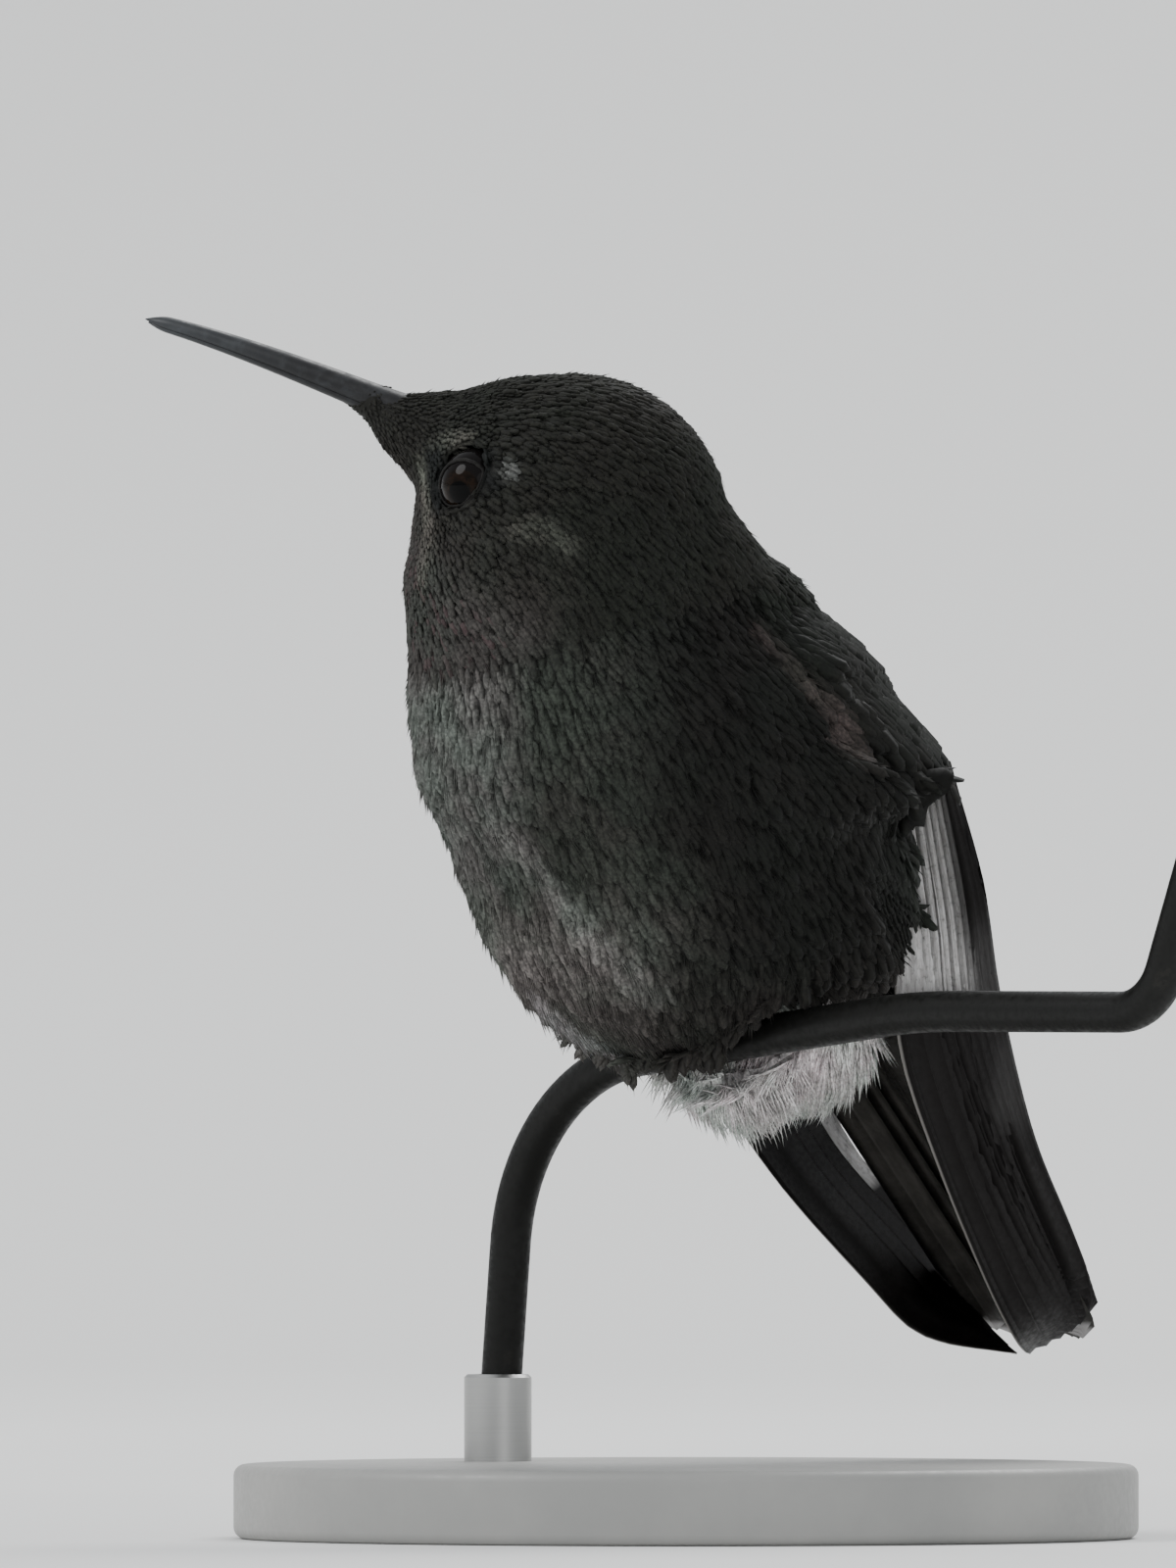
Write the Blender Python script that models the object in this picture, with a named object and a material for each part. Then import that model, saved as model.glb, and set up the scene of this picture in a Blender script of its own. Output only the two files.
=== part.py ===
"""Life-size still model of a perched hummingbird (female Anna's) on a bent wire.

Frame: metres, +Z up, origin at the centre of the base's underside. The bird's middle
plane is XZ and it faces -X, so its left side is -Y. The perch wire runs along Y.
The head is turned to the bird's right, lifted and a little tilted.
"""

import math

import bmesh
import bpy
from mathutils import Matrix, Vector

MM = 0.001
GAP = 0.3 * MM

# Stand
BASE_RADIUS = 28.0 * MM
BASE_HEIGHT = 4.6 * MM
BASE_BEVEL = 0.7 * MM
ROD_RADIUS = 2.1 * MM
ROD_TOP = 10.0 * MM
ROD_SINK = 1.5 * MM

# Perch wire
WIRE_RADIUS = 1.27 * MM
WIRE_FIT = 0.1 * MM
WIRE_FOOT_Z = 6.4 * MM
WIRE_CORNERS = (
    # Y, Z and bend radius of each corner of the wire's centre line, in mm
    (16.5, 6.4, 0.0),
    (14.4, 28.6, 13.0),
    (-20.0, 32.7, 60.0),
    (-40.4, 32.7, 4.2),
    (-44.8, 44.0, 0.0),
)

# Trunk
TRUNK_CENTRE = Vector((-1.3, 0, 44.8)) * MM
TRUNK_PITCH = math.radians(55)
TRUNK_RADII = Vector((18.0, 14.9, 13.8)) * MM
BREAST_CENTRE = Vector((-8.6, 0, 51.2)) * MM
BREAST_RADII = Vector((12.0, 11.5, 11.2)) * MM
MANTLE_CENTRE = Vector((-3.0, 0, 52.6)) * MM
MANTLE_RADII = Vector((10.0, 10.6, 10.2)) * MM
CHANNEL_RADIUS = 2.7 * MM
CHANNEL_LIFT = 0.1 * MM

# Rump, undertail and tail, along the tail's own slope
TAIL_PITCH = math.radians(47.9)
TAIL_ROOT = Vector((9.6, 0, 37.77)) * MM
TAIL_LENGTH = 34.85 * MM
TAIL_ROUNDING = 1.8 * MM
TAIL_THICKNESS = 0.6 * MM
TAIL_HALF_WIDTH = 4.75 * MM
TAIL_ROOT_HALF_WIDTH = 2.7 * MM
REAR_CENTRE = Vector((6.7, 0, 31.8)) * MM
REAR_RADII = Vector((9.0, 8.0, 6.5)) * MM
RUMP_CENTRE = Vector((9.8, 0, 37.0)) * MM
RUMP_RADII = Vector((10.4, 7.0, 6.4)) * MM
VENT_POINT = Vector((0, 0, 31.4)) * MM
VENT_SLOPE = math.radians(38)

# Head, in its own axes: forward along the bill, up, and left
HEAD_CENTRE = Vector((-10.0, 0, 62.3)) * MM
HEAD_TURN = math.radians(63)
HEAD_PITCH = math.radians(21)
HEAD_ROLL = math.radians(22)
HEAD_RADIUS = 9.8 * MM
BILL_LIFT = 3.3 * MM
BILL_START = 14.3 * MM
BILL_LENGTH = 16.1 * MM
BILL_DEPTH = 1.8 * MM
BILL_TIP_DEPTH = 0.8 * MM
BILL_DROOP = 0.7 * MM
BILL_SPLIT = 0.08 * MM
EYE_RADIUS = 2.3 * MM
EYE_PLACE = Vector((4.9, 3.4, 5.3)) * MM

# Neck: the hood's lower edge slopes down to the front and to the bird's right
COLLAR_CENTRE = Vector((-9.4, 0, 57.4)) * MM
COLLAR_RADII = Vector((11.3, 10.8, 9.0)) * MM
HOOD_EDGE = Vector((-8.0, 0, 57.3)) * MM
HOOD_NORMAL = Vector((-0.256, 0.16, 1.0)).normalized()
CHEEK_DROP = 3.2 * MM

# Wings: side points are given for a positive side and mirrored
WING_THICKNESS = 0.6 * MM
WING_LEADING = (
    (10.7, 7.0, 48.0),
    (10.9, 7.5, 38.0),
    (9.9, 8.9, 30.4),
    (14.4, 7.8, 23.0),
    (21.6, 5.1, 16.1),
    (28.8, 1.8, 11.4),
)
WING_TRAILING = (
    (13.7, 9.8, 48.6),
    (16.4, 9.4, 40.6),
    (18.4, 9.0, 33.4),
    (21.4, 8.4, 25.0),
    (26.2, 7.0, 19.2),
    (30.1, 5.9, 14.6),
)
WING_INNER = (
    (15.2, 3.4, 49.2),
    (17.6, 3.8, 40.6),
    (19.6, 4.6, 33.4),
    (21.3, 7.9, 25.4),
)
COVERT_CENTRE = Vector((6.2, 8.4, 51.0)) * MM
COVERT_RADII = Vector((13.0, 8.4, 3.1)) * MM
COVERT_AXIS = Vector((9.3, 1.2, -8.4)).normalized()
COVERT_FACING = Vector((0.60, 0.62, 0.52)).normalized()
COVERT_END = Vector((14.0, 0, 47.2)) * MM

# Legs and toes
LEG_SPREAD = 3.4 * MM
TOE_RADIUS = 0.36 * MM
TOE_SPACING = 0.85 * MM
TOE_POINTS = 9
TOE_SWEEP = math.radians(145)
TOE_CLEARANCE = 0.12 * MM
TARSUS_RADIUS = 0.45 * MM

# Colours
HOOD_GREEN = (0.030, 0.034, 0.026)
BACK_GREEN = (0.028, 0.036, 0.024)
BELLY_GREY = (0.10, 0.11, 0.10)
VENT_WHITE = (0.50, 0.50, 0.50)
FEATHER_BLACK = (0.016, 0.015, 0.014)
TAIL_GREY = (0.05, 0.05, 0.045)
HORN_BLACK = (0.012, 0.012, 0.013)
EYE_BROWN = (0.010, 0.006, 0.004)
WIRE_GREY = (0.030, 0.030, 0.029)
STAND_GREY = (0.30, 0.30, 0.29)
STEEL_GREY = (0.45, 0.45, 0.44)


def clear_scene():
    for item in list(bpy.data.objects):
        bpy.data.objects.remove(item, do_unlink=True)


def material(name, colour, roughness, metallic=0.0):
    made = bpy.data.materials.new(name)
    made.use_nodes = True
    shader = made.node_tree.nodes["Principled BSDF"]
    shader.inputs["Base Color"].default_value = (*colour, 1)
    shader.inputs["Roughness"].default_value = roughness
    shader.inputs["Metallic"].default_value = metallic
    return made


def add_object(name, bm, finish=None, smooth=True):
    """Turns a bmesh into an object whose mesh is closed and faces outward."""
    bmesh.ops.recalc_face_normals(bm, faces=bm.faces)
    if bm.calc_volume(signed=True) < 0:
        bmesh.ops.reverse_faces(bm, faces=bm.faces)
    mesh = bpy.data.meshes.new(name)
    bm.to_mesh(mesh)
    bm.free()
    if smooth:
        mesh.shade_smooth()
        mesh.set_sharp_from_angle(angle=math.radians(40))
    made = bpy.data.objects.new(name, mesh)
    bpy.context.collection.objects.link(made)
    if finish:
        mesh.materials.append(finish)
    return made


def make_cutter(made):
    made.hide_render = True
    made.display_type = "WIRE"
    return made


def boolean(made, other, operation="DIFFERENCE"):
    cut = made.modifiers.new(other.name, "BOOLEAN")
    cut.operation = operation
    cut.solver = "EXACT"
    cut.object = other


def frame_from(forward, side):
    """A rotation whose columns are forward, side and up, made square."""
    forward = forward.normalized()
    up = forward.cross(side).normalized()
    return Matrix((forward, up.cross(forward), up)).transposed()


def pitch_frame(pitch):
    """Axes of a body part that slopes down to the tail: along it, left, and dorsal."""
    along = Vector((math.cos(pitch), 0, -math.sin(pitch)))
    return Matrix((along, Vector((0, 1, 0)), Vector((math.sin(pitch), 0, math.cos(pitch))))).transposed()


def head_frame():
    """Columns: forward along the bill, up, and the bird's left."""
    level = Vector((-math.cos(HEAD_TURN), math.sin(HEAD_TURN), 0))
    forward = level * math.cos(HEAD_PITCH) + Vector((0, 0, math.sin(HEAD_PITCH)))
    left = Vector((0, 0, 1)).cross(forward).normalized()
    up = forward.cross(left)
    tilted_left = left * math.cos(HEAD_ROLL) - up * math.sin(HEAD_ROLL)
    tilted_up = up * math.cos(HEAD_ROLL) + left * math.sin(HEAD_ROLL)
    return Matrix((forward, tilted_up, tilted_left)).transposed()


HEAD_AXES = head_frame()
TRUNK_AXES = pitch_frame(TRUNK_PITCH)
TAIL_AXES = pitch_frame(TAIL_PITCH)


def in_head(forward, up, left):
    return HEAD_CENTRE + HEAD_AXES @ Vector((forward, up, left))


def lobe(centre, radii, axes=None):
    return centre, radii, axes or Matrix.Identity(3)


def reach(shape, origin, direction):
    """How far a ray from origin goes until it leaves an ellipsoid, or 0 if it misses."""
    centre, radii, axes = shape
    start = axes.transposed() @ (origin - centre)
    aim = axes.transposed() @ direction
    start = Vector(start[i] / radii[i] for i in range(3))
    aim = Vector(aim[i] / radii[i] for i in range(3))
    inside = start.dot(aim) ** 2 - aim.length_squared * (start.length_squared - 1)
    if inside <= 0:
        return 0.0
    return max(0.0, (math.sqrt(inside) - start.dot(aim)) / aim.length_squared)


def blob(origin, lobes, pole, rings=16, segments=24, grow=0.0, blend=14):
    """One smooth closed form over several ellipsoids, seen from a point inside them."""
    helper = Vector((0, 0, 1)) if abs(pole.normalized().z) < 0.9 else Vector((0, 1, 0))
    axes = frame_from(pole, pole.cross(helper))

    def point(polar, turn):
        local = Vector((math.cos(polar), math.sin(polar) * math.cos(turn), math.sin(polar) * math.sin(turn)))
        aim = axes @ local
        reached = sum(max(reach(shape, origin, aim), 1e-6) ** blend for shape in lobes) ** (1 / blend)
        return origin + aim * (reached + grow)

    bm = bmesh.new()
    loops = [
        [bm.verts.new(point(math.pi * i / rings, 2 * math.pi * j / segments)) for j in range(segments)]
        for i in range(1, rings)
    ]
    first = bm.verts.new(point(0, 0))
    last = bm.verts.new(point(math.pi, 0))
    for j in range(segments):
        k = (j + 1) % segments
        bm.faces.new((first, loops[0][j], loops[0][k]))
        bm.faces.new((last, loops[-1][k], loops[-1][j]))
        for near, far in zip(loops, loops[1:]):
            bm.faces.new((near[j], far[j], far[k], near[k]))
    return bm


def keep_side(bm, point, normal):
    """Cuts a closed form with a plane, keeps the side the normal points to, and closes it."""
    geometry = bm.verts[:] + bm.edges[:] + bm.faces[:]
    cut = bmesh.ops.bisect_plane(bm, geom=geometry, plane_co=point, plane_no=normal, clear_inner=True, dist=1e-7)
    rim = [item for item in cut["geom_cut"] if isinstance(item, bmesh.types.BMEdge)]
    bmesh.ops.contextual_create(bm, geom=rim)
    bmesh.ops.triangulate(bm, faces=[face for face in bm.faces if len(face.verts) > 4])
    return bm


def loft(rings):
    """Closed form through rings of equal length, with a flat end on each side."""
    bm = bmesh.new()
    loops = [[bm.verts.new(point) for point in ring] for ring in rings]
    count = len(loops[0])
    for near, far in zip(loops, loops[1:]):
        for j in range(count):
            k = (j + 1) % count
            bm.faces.new((near[j], near[k], far[k], far[j]))
    bm.faces.new(reversed(loops[0]))
    bm.faces.new(loops[-1])
    return bm


def tube(path, radii, sides):
    """Round bar along a path, with one radius for each point."""
    rings = []
    side = None
    for i, centre in enumerate(path):
        ahead = path[min(i + 1, len(path) - 1)] - path[max(i - 1, 0)]
        ahead.normalize()
        if side is None:
            helper = Vector((1, 0, 0)) if abs(ahead.x) < 0.9 else Vector((0, 1, 0))
            side = ahead.cross(helper)
        side = (side - ahead * side.dot(ahead)).normalized()
        other = ahead.cross(side)
        turns = [2 * math.pi * j / sides for j in range(sides)]
        rings.append([centre + (side * math.cos(a) + other * math.sin(a)) * radii[i] for a in turns])
    return loft(rings)


def cylinder(bottom, top, radius, sides=32):
    turns = [2 * math.pi * j / sides for j in range(sides)]
    axis = (top - bottom).normalized()
    axes = frame_from(axis, Vector((1, 0, 0)) if abs(axis.x) < 0.9 else Vector((0, 1, 0)))
    return loft(
        [[end + axes @ Vector((0, math.cos(a), math.sin(a))) * radius for a in turns] for end in (bottom, top)]
    )


def curve_through(points, count):
    """Smooth curve of count points through the given ones."""
    padded = [points[0] * 2 - points[1], *points, points[-1] * 2 - points[-2]]
    made = []
    for i in range(count):
        place = i / (count - 1) * (len(points) - 1)
        k = min(int(place), len(points) - 2)
        t = place - k
        a, b, c, d = padded[k : k + 4]
        made.append(
            0.5 * (2 * b + (c - a) * t + (2 * a - 5 * b + 4 * c - d) * t**2 + (3 * b - a - 3 * c + d) * t**3)
        )
    return made


def plate(grid, thickness):
    """Thin curved plate over a grid of points, with half its thickness on each side."""
    rows, columns = len(grid), len(grid[0])

    def normal(i, j):
        down = grid[min(i + 1, rows - 1)][j] - grid[max(i - 1, 0)][j]
        across = grid[i][min(j + 1, columns - 1)] - grid[i][max(j - 1, 0)]
        return down.cross(across).normalized() * thickness / 2

    bm = bmesh.new()
    faces = [
        [[bm.verts.new(grid[i][j] + normal(i, j) * sign) for j in range(columns)] for i in range(rows)]
        for sign in (1, -1)
    ]
    for layer in faces:
        for i in range(rows - 1):
            for j in range(columns - 1):
                bm.faces.new((layer[i][j], layer[i + 1][j], layer[i + 1][j + 1], layer[i][j + 1]))
    rim = [(0, j) for j in range(columns)] + [(i, columns - 1) for i in range(1, rows)]
    rim += [(rows - 1, j) for j in range(columns - 2, -1, -1)] + [(i, 0) for i in range(rows - 2, 0, -1)]
    for (i, j), (k, m) in zip(rim, rim[1:] + rim[:1]):
        bm.faces.new((faces[0][i][j], faces[0][k][m], faces[1][k][m], faces[1][i][j]))
    return bm


def wire_path():
    """Centre line of the wire: straight runs joined by round bends."""
    corners = [Vector((0, y, z)) * MM for y, z, _ in WIRE_CORNERS]
    path = [corners[0]]
    for i in range(1, len(corners) - 1):
        radius = WIRE_CORNERS[i][2] * MM
        back = (corners[i - 1] - corners[i]).normalized()
        ahead = (corners[i + 1] - corners[i]).normalized()
        half = back.angle(ahead) / 2
        centre = corners[i] + (back + ahead).normalized() * radius / math.sin(half)
        start = corners[i] + back * radius / math.tan(half)
        end = corners[i] + ahead * radius / math.tan(half)
        steps = max(3, round(math.degrees(math.pi - 2 * half) / 8))
        for step in range(steps + 1):
            aim = (start - centre).lerp(end - centre, step / steps)
            path.append(centre + aim.normalized() * radius)
    path.append(corners[-1])
    return path


def build_stand(steel):
    painted = material("stand_painted", STAND_GREY, 0.55)
    base_bm = cylinder(Vector((0, 0, 0)), Vector((0, 0, BASE_HEIGHT)), BASE_RADIUS, sides=56)
    base = add_object("stand_base", base_bm, painted)
    bevel = base.modifiers.new("edge", "BEVEL")
    bevel.width = BASE_BEVEL
    bevel.segments = 2
    bevel.limit_method = "ANGLE"
    foot = wire_path()[0]
    floor = Vector((foot.x, foot.y, BASE_HEIGHT - ROD_SINK))
    top = Vector((foot.x, foot.y, ROD_TOP))
    recess = cylinder(floor - Vector((0, 0, GAP)), top, ROD_RADIUS + WIRE_FIT)
    boolean(base, make_cutter(add_object("recess_cutter", recess)))
    rod = add_object("stand_rod", cylinder(floor, top, ROD_RADIUS), steel)
    aim = (wire_path()[1] - foot).normalized()
    bore = cylinder(foot - aim * GAP, foot + aim * (ROD_TOP - WIRE_FOOT_Z + GAP * 5), WIRE_RADIUS + WIRE_FIT)
    boolean(rod, make_cutter(add_object("rod_bore_cutter", bore)))


def build_wire():
    path = wire_path()
    made = tube(path, [WIRE_RADIUS] * len(path), sides=12)
    add_object("perch_wire", made, material("wire_dark", WIRE_GREY, 0.42, 0.6))


def trunk_lobes():
    return [
        lobe(TRUNK_CENTRE, TRUNK_RADII, TRUNK_AXES),
        lobe(BREAST_CENTRE, BREAST_RADII, TRUNK_AXES),
        lobe(MANTLE_CENTRE, MANTLE_RADII, TRUNK_AXES),
    ]


def trunk_form(grow=0.0):
    origin = TRUNK_CENTRE.lerp(BREAST_CENTRE, 0.4)
    return blob(origin, trunk_lobes(), TRUNK_AXES.col[0], rings=20, segments=28, grow=grow)


def rear_plane():
    """The cut between the belly and the rump and undertail feathers, through the perch."""
    return VENT_POINT.copy(), Vector((math.sin(VENT_SLOPE), 0, -math.cos(VENT_SLOPE)))


def build_trunk():
    bm = trunk_form()
    keep_side(bm, HOOD_EDGE, -HOOD_NORMAL)
    point, axis = rear_plane()
    keep_side(bm, point, -axis)
    trunk = add_object("trunk", bm, material("belly_feathers", BELLY_GREY, 0.8))
    near = Vector((0, LEG_SPREAD, wire_height(LEG_SPREAD)))
    far = Vector((0, -LEG_SPREAD, wire_height(-LEG_SPREAD)))
    middle = near.lerp(far, 0.5) + Vector((0, 0, CHANNEL_LIFT))
    reach_out = (near - far).normalized() * TRUNK_RADII.y * 1.5
    channel = add_object("channel_cutter", cylinder(middle - reach_out, middle + reach_out, CHANNEL_RADIUS, 20))
    boolean(trunk, make_cutter(channel))
    return channel


def hood_form():
    lobes = [
        lobe(HEAD_CENTRE, Vector((HEAD_RADIUS, HEAD_RADIUS, HEAD_RADIUS)), HEAD_AXES),
        lobe(COLLAR_CENTRE, COLLAR_RADII),
        lobe(in_head(4.6 * MM, 2.5 * MM, 0), Vector((10.4, 3.4, 3.4)) * MM, HEAD_AXES),
        lobe(in_head(4.2 * MM, 2.6 * MM, 0), Vector((6.0, 5.2, 5.2)) * MM, HEAD_AXES),
    ]
    return blob(in_head(1.5 * MM, 0.6 * MM, 0), lobes, HEAD_AXES.col[0], rings=22, segments=28)


def build_hood():
    feathers = material("hood_feathers", HOOD_GREEN, 0.7)
    cheek = in_head(0, -CHEEK_DROP, 0)
    up = HEAD_AXES.col[1].copy()
    head_bm = keep_side(hood_form(), cheek + up * GAP / 2, up)
    keep_side(head_bm, in_head(BILL_START - GAP, 0, 0), -HEAD_AXES.col[0])
    keep_side(head_bm, HOOD_EDGE + HOOD_NORMAL * GAP, HOOD_NORMAL)
    head = add_object("head", head_bm, feathers)
    neck_bm = keep_side(hood_form(), cheek - up * GAP / 2, -up)
    keep_side(neck_bm, HOOD_EDGE + HOOD_NORMAL * GAP, HOOD_NORMAL)
    add_object("neck", neck_bm, feathers)
    return head


def build_eyes(head):
    glossy = material("eye_dark", EYE_BROWN, 0.08)
    for side, word in ((1, "left"), (-1, "right")):
        centre = in_head(EYE_PLACE.x, EYE_PLACE.y, EYE_PLACE.z * side)
        out = HEAD_AXES.col[2] * side
        ball = [lobe(centre, Vector((1, 1, 1)) * EYE_RADIUS)]
        add_object(f"eye_{word}", blob(centre, ball, out, rings=9, segments=14), glossy)
        socket = blob(centre, ball, out, rings=9, segments=14, grow=WIRE_FIT)
        boolean(head, make_cutter(add_object(f"socket_cutter_{word}", socket)))


def bill_ring(along, upper):
    """Half of the bill's round section: the upper or lower mandible, split along its edge."""
    t = along / BILL_LENGTH
    depth = BILL_TIP_DEPTH + (BILL_DEPTH - BILL_TIP_DEPTH) * (1 - t) ** 0.9
    depth *= 1 if t < 0.93 else 1 - 0.75 * ((t - 0.93) / 0.07) ** 1.5
    share = 0.58 if upper else 0.42
    split = BILL_SPLIT / 2 * (1 if upper else -1)
    lift = BILL_LIFT - BILL_DROOP * t**3
    ring = []
    for k in range(9):
        turn = math.pi * k / 8
        side = math.cos(turn) * depth * 0.56
        rise = math.sin(turn) * depth * share
        ring.append(in_head(BILL_START + along, lift + split + (rise if upper else -rise), side))
    return ring


def build_bill():
    horn = material("bill_horn", HORN_BLACK, 0.35)
    for upper, word in ((True, "upper"), (False, "lower")):
        length = BILL_LENGTH if upper else BILL_LENGTH - GAP
        steps = [length * k / 14 for k in range(15)]
        add_object(f"bill_{word}", loft([bill_ring(along, upper) for along in steps]), horn)


def build_rear(channel):
    """Rump above the tail and pale undertail coverts below it, parted by the tail's slot."""
    point, axis = rear_plane()
    up = TAIL_AXES.col[2].copy()
    pieces = (
        ("rump", 1, BACK_GREEN, RUMP_CENTRE, RUMP_RADII),
        ("undertail_coverts", -1, VENT_WHITE, REAR_CENTRE, REAR_RADII),
    )
    for name, sign, colour, centre, radii in pieces:
        lobes = [lobe(centre, radii, TAIL_AXES), lobe(TRUNK_CENTRE, TRUNK_RADII, TRUNK_AXES)]
        bm = blob(centre.copy(), lobes, TAIL_AXES.col[0], rings=18, segments=24)
        keep_side(bm, point + axis * GAP, axis)
        slot = TAIL_THICKNESS + GAP * 1.5
        keep_side(bm, TAIL_ROOT + up * slot * sign, up * sign)
        keep_side(bm, Vector((CHANNEL_RADIUS / 3, 0, 0)), Vector((1, 0, 0)))
        made = add_object(name, bm, material(name + "_feathers", colour, 0.8))
        if sign < 0:
            boolean(made, channel)


def tail_grid(left_edge, right_edge, lift):
    """Grid over one group of tail feathers between two edges given as (root, tip) half widths."""
    along, side, up = (TAIL_AXES.col[i].copy() for i in range(3))
    rows, columns = 10, 5
    grid = []
    for i in range(rows):
        t = i / (rows - 1)
        row = []
        for j in range(columns):
            across = j / (columns - 1)
            left = left_edge[0] + (left_edge[1] - left_edge[0]) * t
            right = right_edge[0] + (right_edge[1] - right_edge[0]) * t
            y = left + (right - left) * across
            tip = TAIL_LENGTH - TAIL_ROUNDING * (y / TAIL_HALF_WIDTH) ** 2 * t
            camber = -0.035 * y * y / MM
            row.append(TAIL_ROOT + along * (tip * t) + side * y + up * (lift + camber))
        grid.append(row)
    return grid


def build_tail():
    vane = material("tail_feathers", FEATHER_BLACK, 0.5)
    grey = material("tail_inner_feathers", TAIL_GREY, 0.6)
    step = TAIL_THICKNESS + 0.15 * MM
    centre = tail_grid((-2.2 * MM, -3.0 * MM), (2.2 * MM, 3.0 * MM), step)
    add_object("tail_centre", plate(centre, TAIL_THICKNESS), grey)
    for side, word in ((-1, "left"), (1, "right")):
        root = TAIL_ROOT_HALF_WIDTH * side
        tip = TAIL_HALF_WIDTH * side
        grid = tail_grid((root * 0.1, tip * 0.15), (root, tip), 0.0)
        add_object(f"tail_{word}", plate(grid, TAIL_THICKNESS), vane)


def build_wings(trunk_cutter):
    vane = material("flight_feathers", FEATHER_BLACK, 0.45)
    coverts = material("wing_coverts", BACK_GREEN, 0.6)
    for side, word in ((-1, "left"), (1, "right")):
        flip = Matrix.Diagonal((1, side, 1))
        leading = curve_through([flip @ Vector(p) * MM for p in WING_LEADING], 16)
        trailing = curve_through([flip @ Vector(p) * MM for p in WING_TRAILING], 16)
        grid = []
        for i, (front, back) in enumerate(zip(leading, trailing)):
            bow = Vector((0.5, 0.8 * side, 0)) * 1.2 * MM * (1 - i / 15)
            grid.append([front.lerp(back, j / 4) + bow * math.sin(math.pi * j / 4) for j in range(5)])
        along = flip @ COVERT_AXIS
        root = COVERT_END + along * GAP
        blade_bm = keep_side(plate(grid, WING_THICKNESS), root, along)
        blade = add_object(f"wing_{word}_primaries", blade_bm, vane)
        boolean(blade, trunk_cutter)
        tuck = Vector((-GAP / 2, -(WING_THICKNESS + 2 * GAP) * side, 0))
        outer = [point + tuck for point in trailing[:10]]
        inner = curve_through([flip @ Vector(p) * MM for p in WING_INNER], len(outer))
        grid = [
            [out.lerp(inn, j / 4) + Vector((1, 0, 0)) * MM * math.sin(math.pi * j / 4) for j in range(5)]
            for out, inn in zip(outer, inner)
        ]
        add_object(f"wing_{word}_secondaries", keep_side(plate(grid, WING_THICKNESS), root, along), vane)
        axes = frame_from(along, (flip @ COVERT_FACING).cross(along))
        centre = flip @ COVERT_CENTRE
        bm = blob(centre, [lobe(centre, COVERT_RADII, axes)], axes.col[0].copy(), rings=14, segments=20)
        keep_side(bm, COVERT_END, -along)
        keep_side(bm, HOOD_EDGE - HOOD_NORMAL * GAP, -HOOD_NORMAL)
        shoulder = add_object(f"wing_{word}_coverts", bm, coverts)
        boolean(shoulder, trunk_cutter)


def toe_path(sweep, y_from, y_to):
    """A toe that curls round the wire from its top; positive turns go forward."""
    radius = WIRE_RADIUS + TOE_CLEARANCE + TOE_RADIUS
    path = []
    for k in range(TOE_POINTS):
        t = k / (TOE_POINTS - 1)
        turn = sweep * t
        y = y_from + (y_to - y_from) * min(1, t * 2)
        path.append(Vector((-math.sin(turn) * radius, y, wire_height(y) + math.cos(turn) * radius)))
    return path


def wire_height(y):
    """Height of the wire's centre line at y."""
    path = wire_path()
    for low, high in zip(path, path[1:]):
        if low.y >= y >= high.y:
            return low.lerp(high, (low.y - y) / (low.y - high.y)).z
    return path[0].z


def build_legs():
    skin = material("leg_skin", HORN_BLACK, 0.6)
    claw = TOE_POINTS - 3
    radii = [TOE_RADIUS * (1 - 0.35 * max(0, k - claw)) for k in range(TOE_POINTS)]
    for side, word in ((-1, "left"), (1, "right")):
        y = LEG_SPREAD * side
        top = wire_height(y) + WIRE_RADIUS + TOE_CLEARANCE + TOE_RADIUS
        roof = wire_height(y) + CHANNEL_LIFT + CHANNEL_RADIUS - GAP
        knee = Vector((0.2 * MM, y, roof))
        ankle = Vector((0, y, top - TOE_RADIUS * 0.2))
        leg = add_object(f"leg_{word}", tube([ankle, knee], [TARSUS_RADIUS * 1.25, TARSUS_RADIUS], 8), skin)
        toes = [(TOE_SWEEP, step * TOE_SPACING) for step in (-1, 0, 1)]
        toes.append((-TOE_SWEEP, 0.0))
        for number, (sweep, spread) in enumerate(toes):
            path = toe_path(sweep, y + spread * 0.2, y + spread)
            toe = add_object(f"toe_{word}_{number}", tube(path, radii, 6))
            boolean(leg, make_cutter(toe), "UNION")


def build():
    clear_scene()
    steel = material("rod_steel", STEEL_GREY, 0.35, 0.9)
    build_stand(steel)
    build_wire()
    channel = build_trunk()
    head = build_hood()
    build_eyes(head)
    build_bill()
    build_rear(channel)
    build_tail()
    build_wings(make_cutter(add_object("trunk_cutter", trunk_form(GAP))))
    build_legs()


build()
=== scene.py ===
import math
import bmesh
import bpy
import numpy as np
from mathutils import Matrix, Vector
from mathutils.bvhtree import BVHTree


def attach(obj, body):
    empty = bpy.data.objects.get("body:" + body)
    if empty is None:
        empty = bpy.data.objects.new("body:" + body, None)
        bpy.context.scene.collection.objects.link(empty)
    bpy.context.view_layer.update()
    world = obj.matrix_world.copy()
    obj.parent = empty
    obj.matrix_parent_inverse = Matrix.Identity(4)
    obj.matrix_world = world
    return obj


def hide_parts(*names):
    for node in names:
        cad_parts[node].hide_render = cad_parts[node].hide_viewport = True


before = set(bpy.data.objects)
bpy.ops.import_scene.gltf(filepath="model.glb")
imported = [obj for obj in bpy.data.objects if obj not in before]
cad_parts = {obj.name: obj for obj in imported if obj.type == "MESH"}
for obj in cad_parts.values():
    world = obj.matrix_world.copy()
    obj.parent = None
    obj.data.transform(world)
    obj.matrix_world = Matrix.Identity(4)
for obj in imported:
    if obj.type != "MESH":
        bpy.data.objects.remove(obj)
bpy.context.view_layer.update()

mm = 0.001

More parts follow.
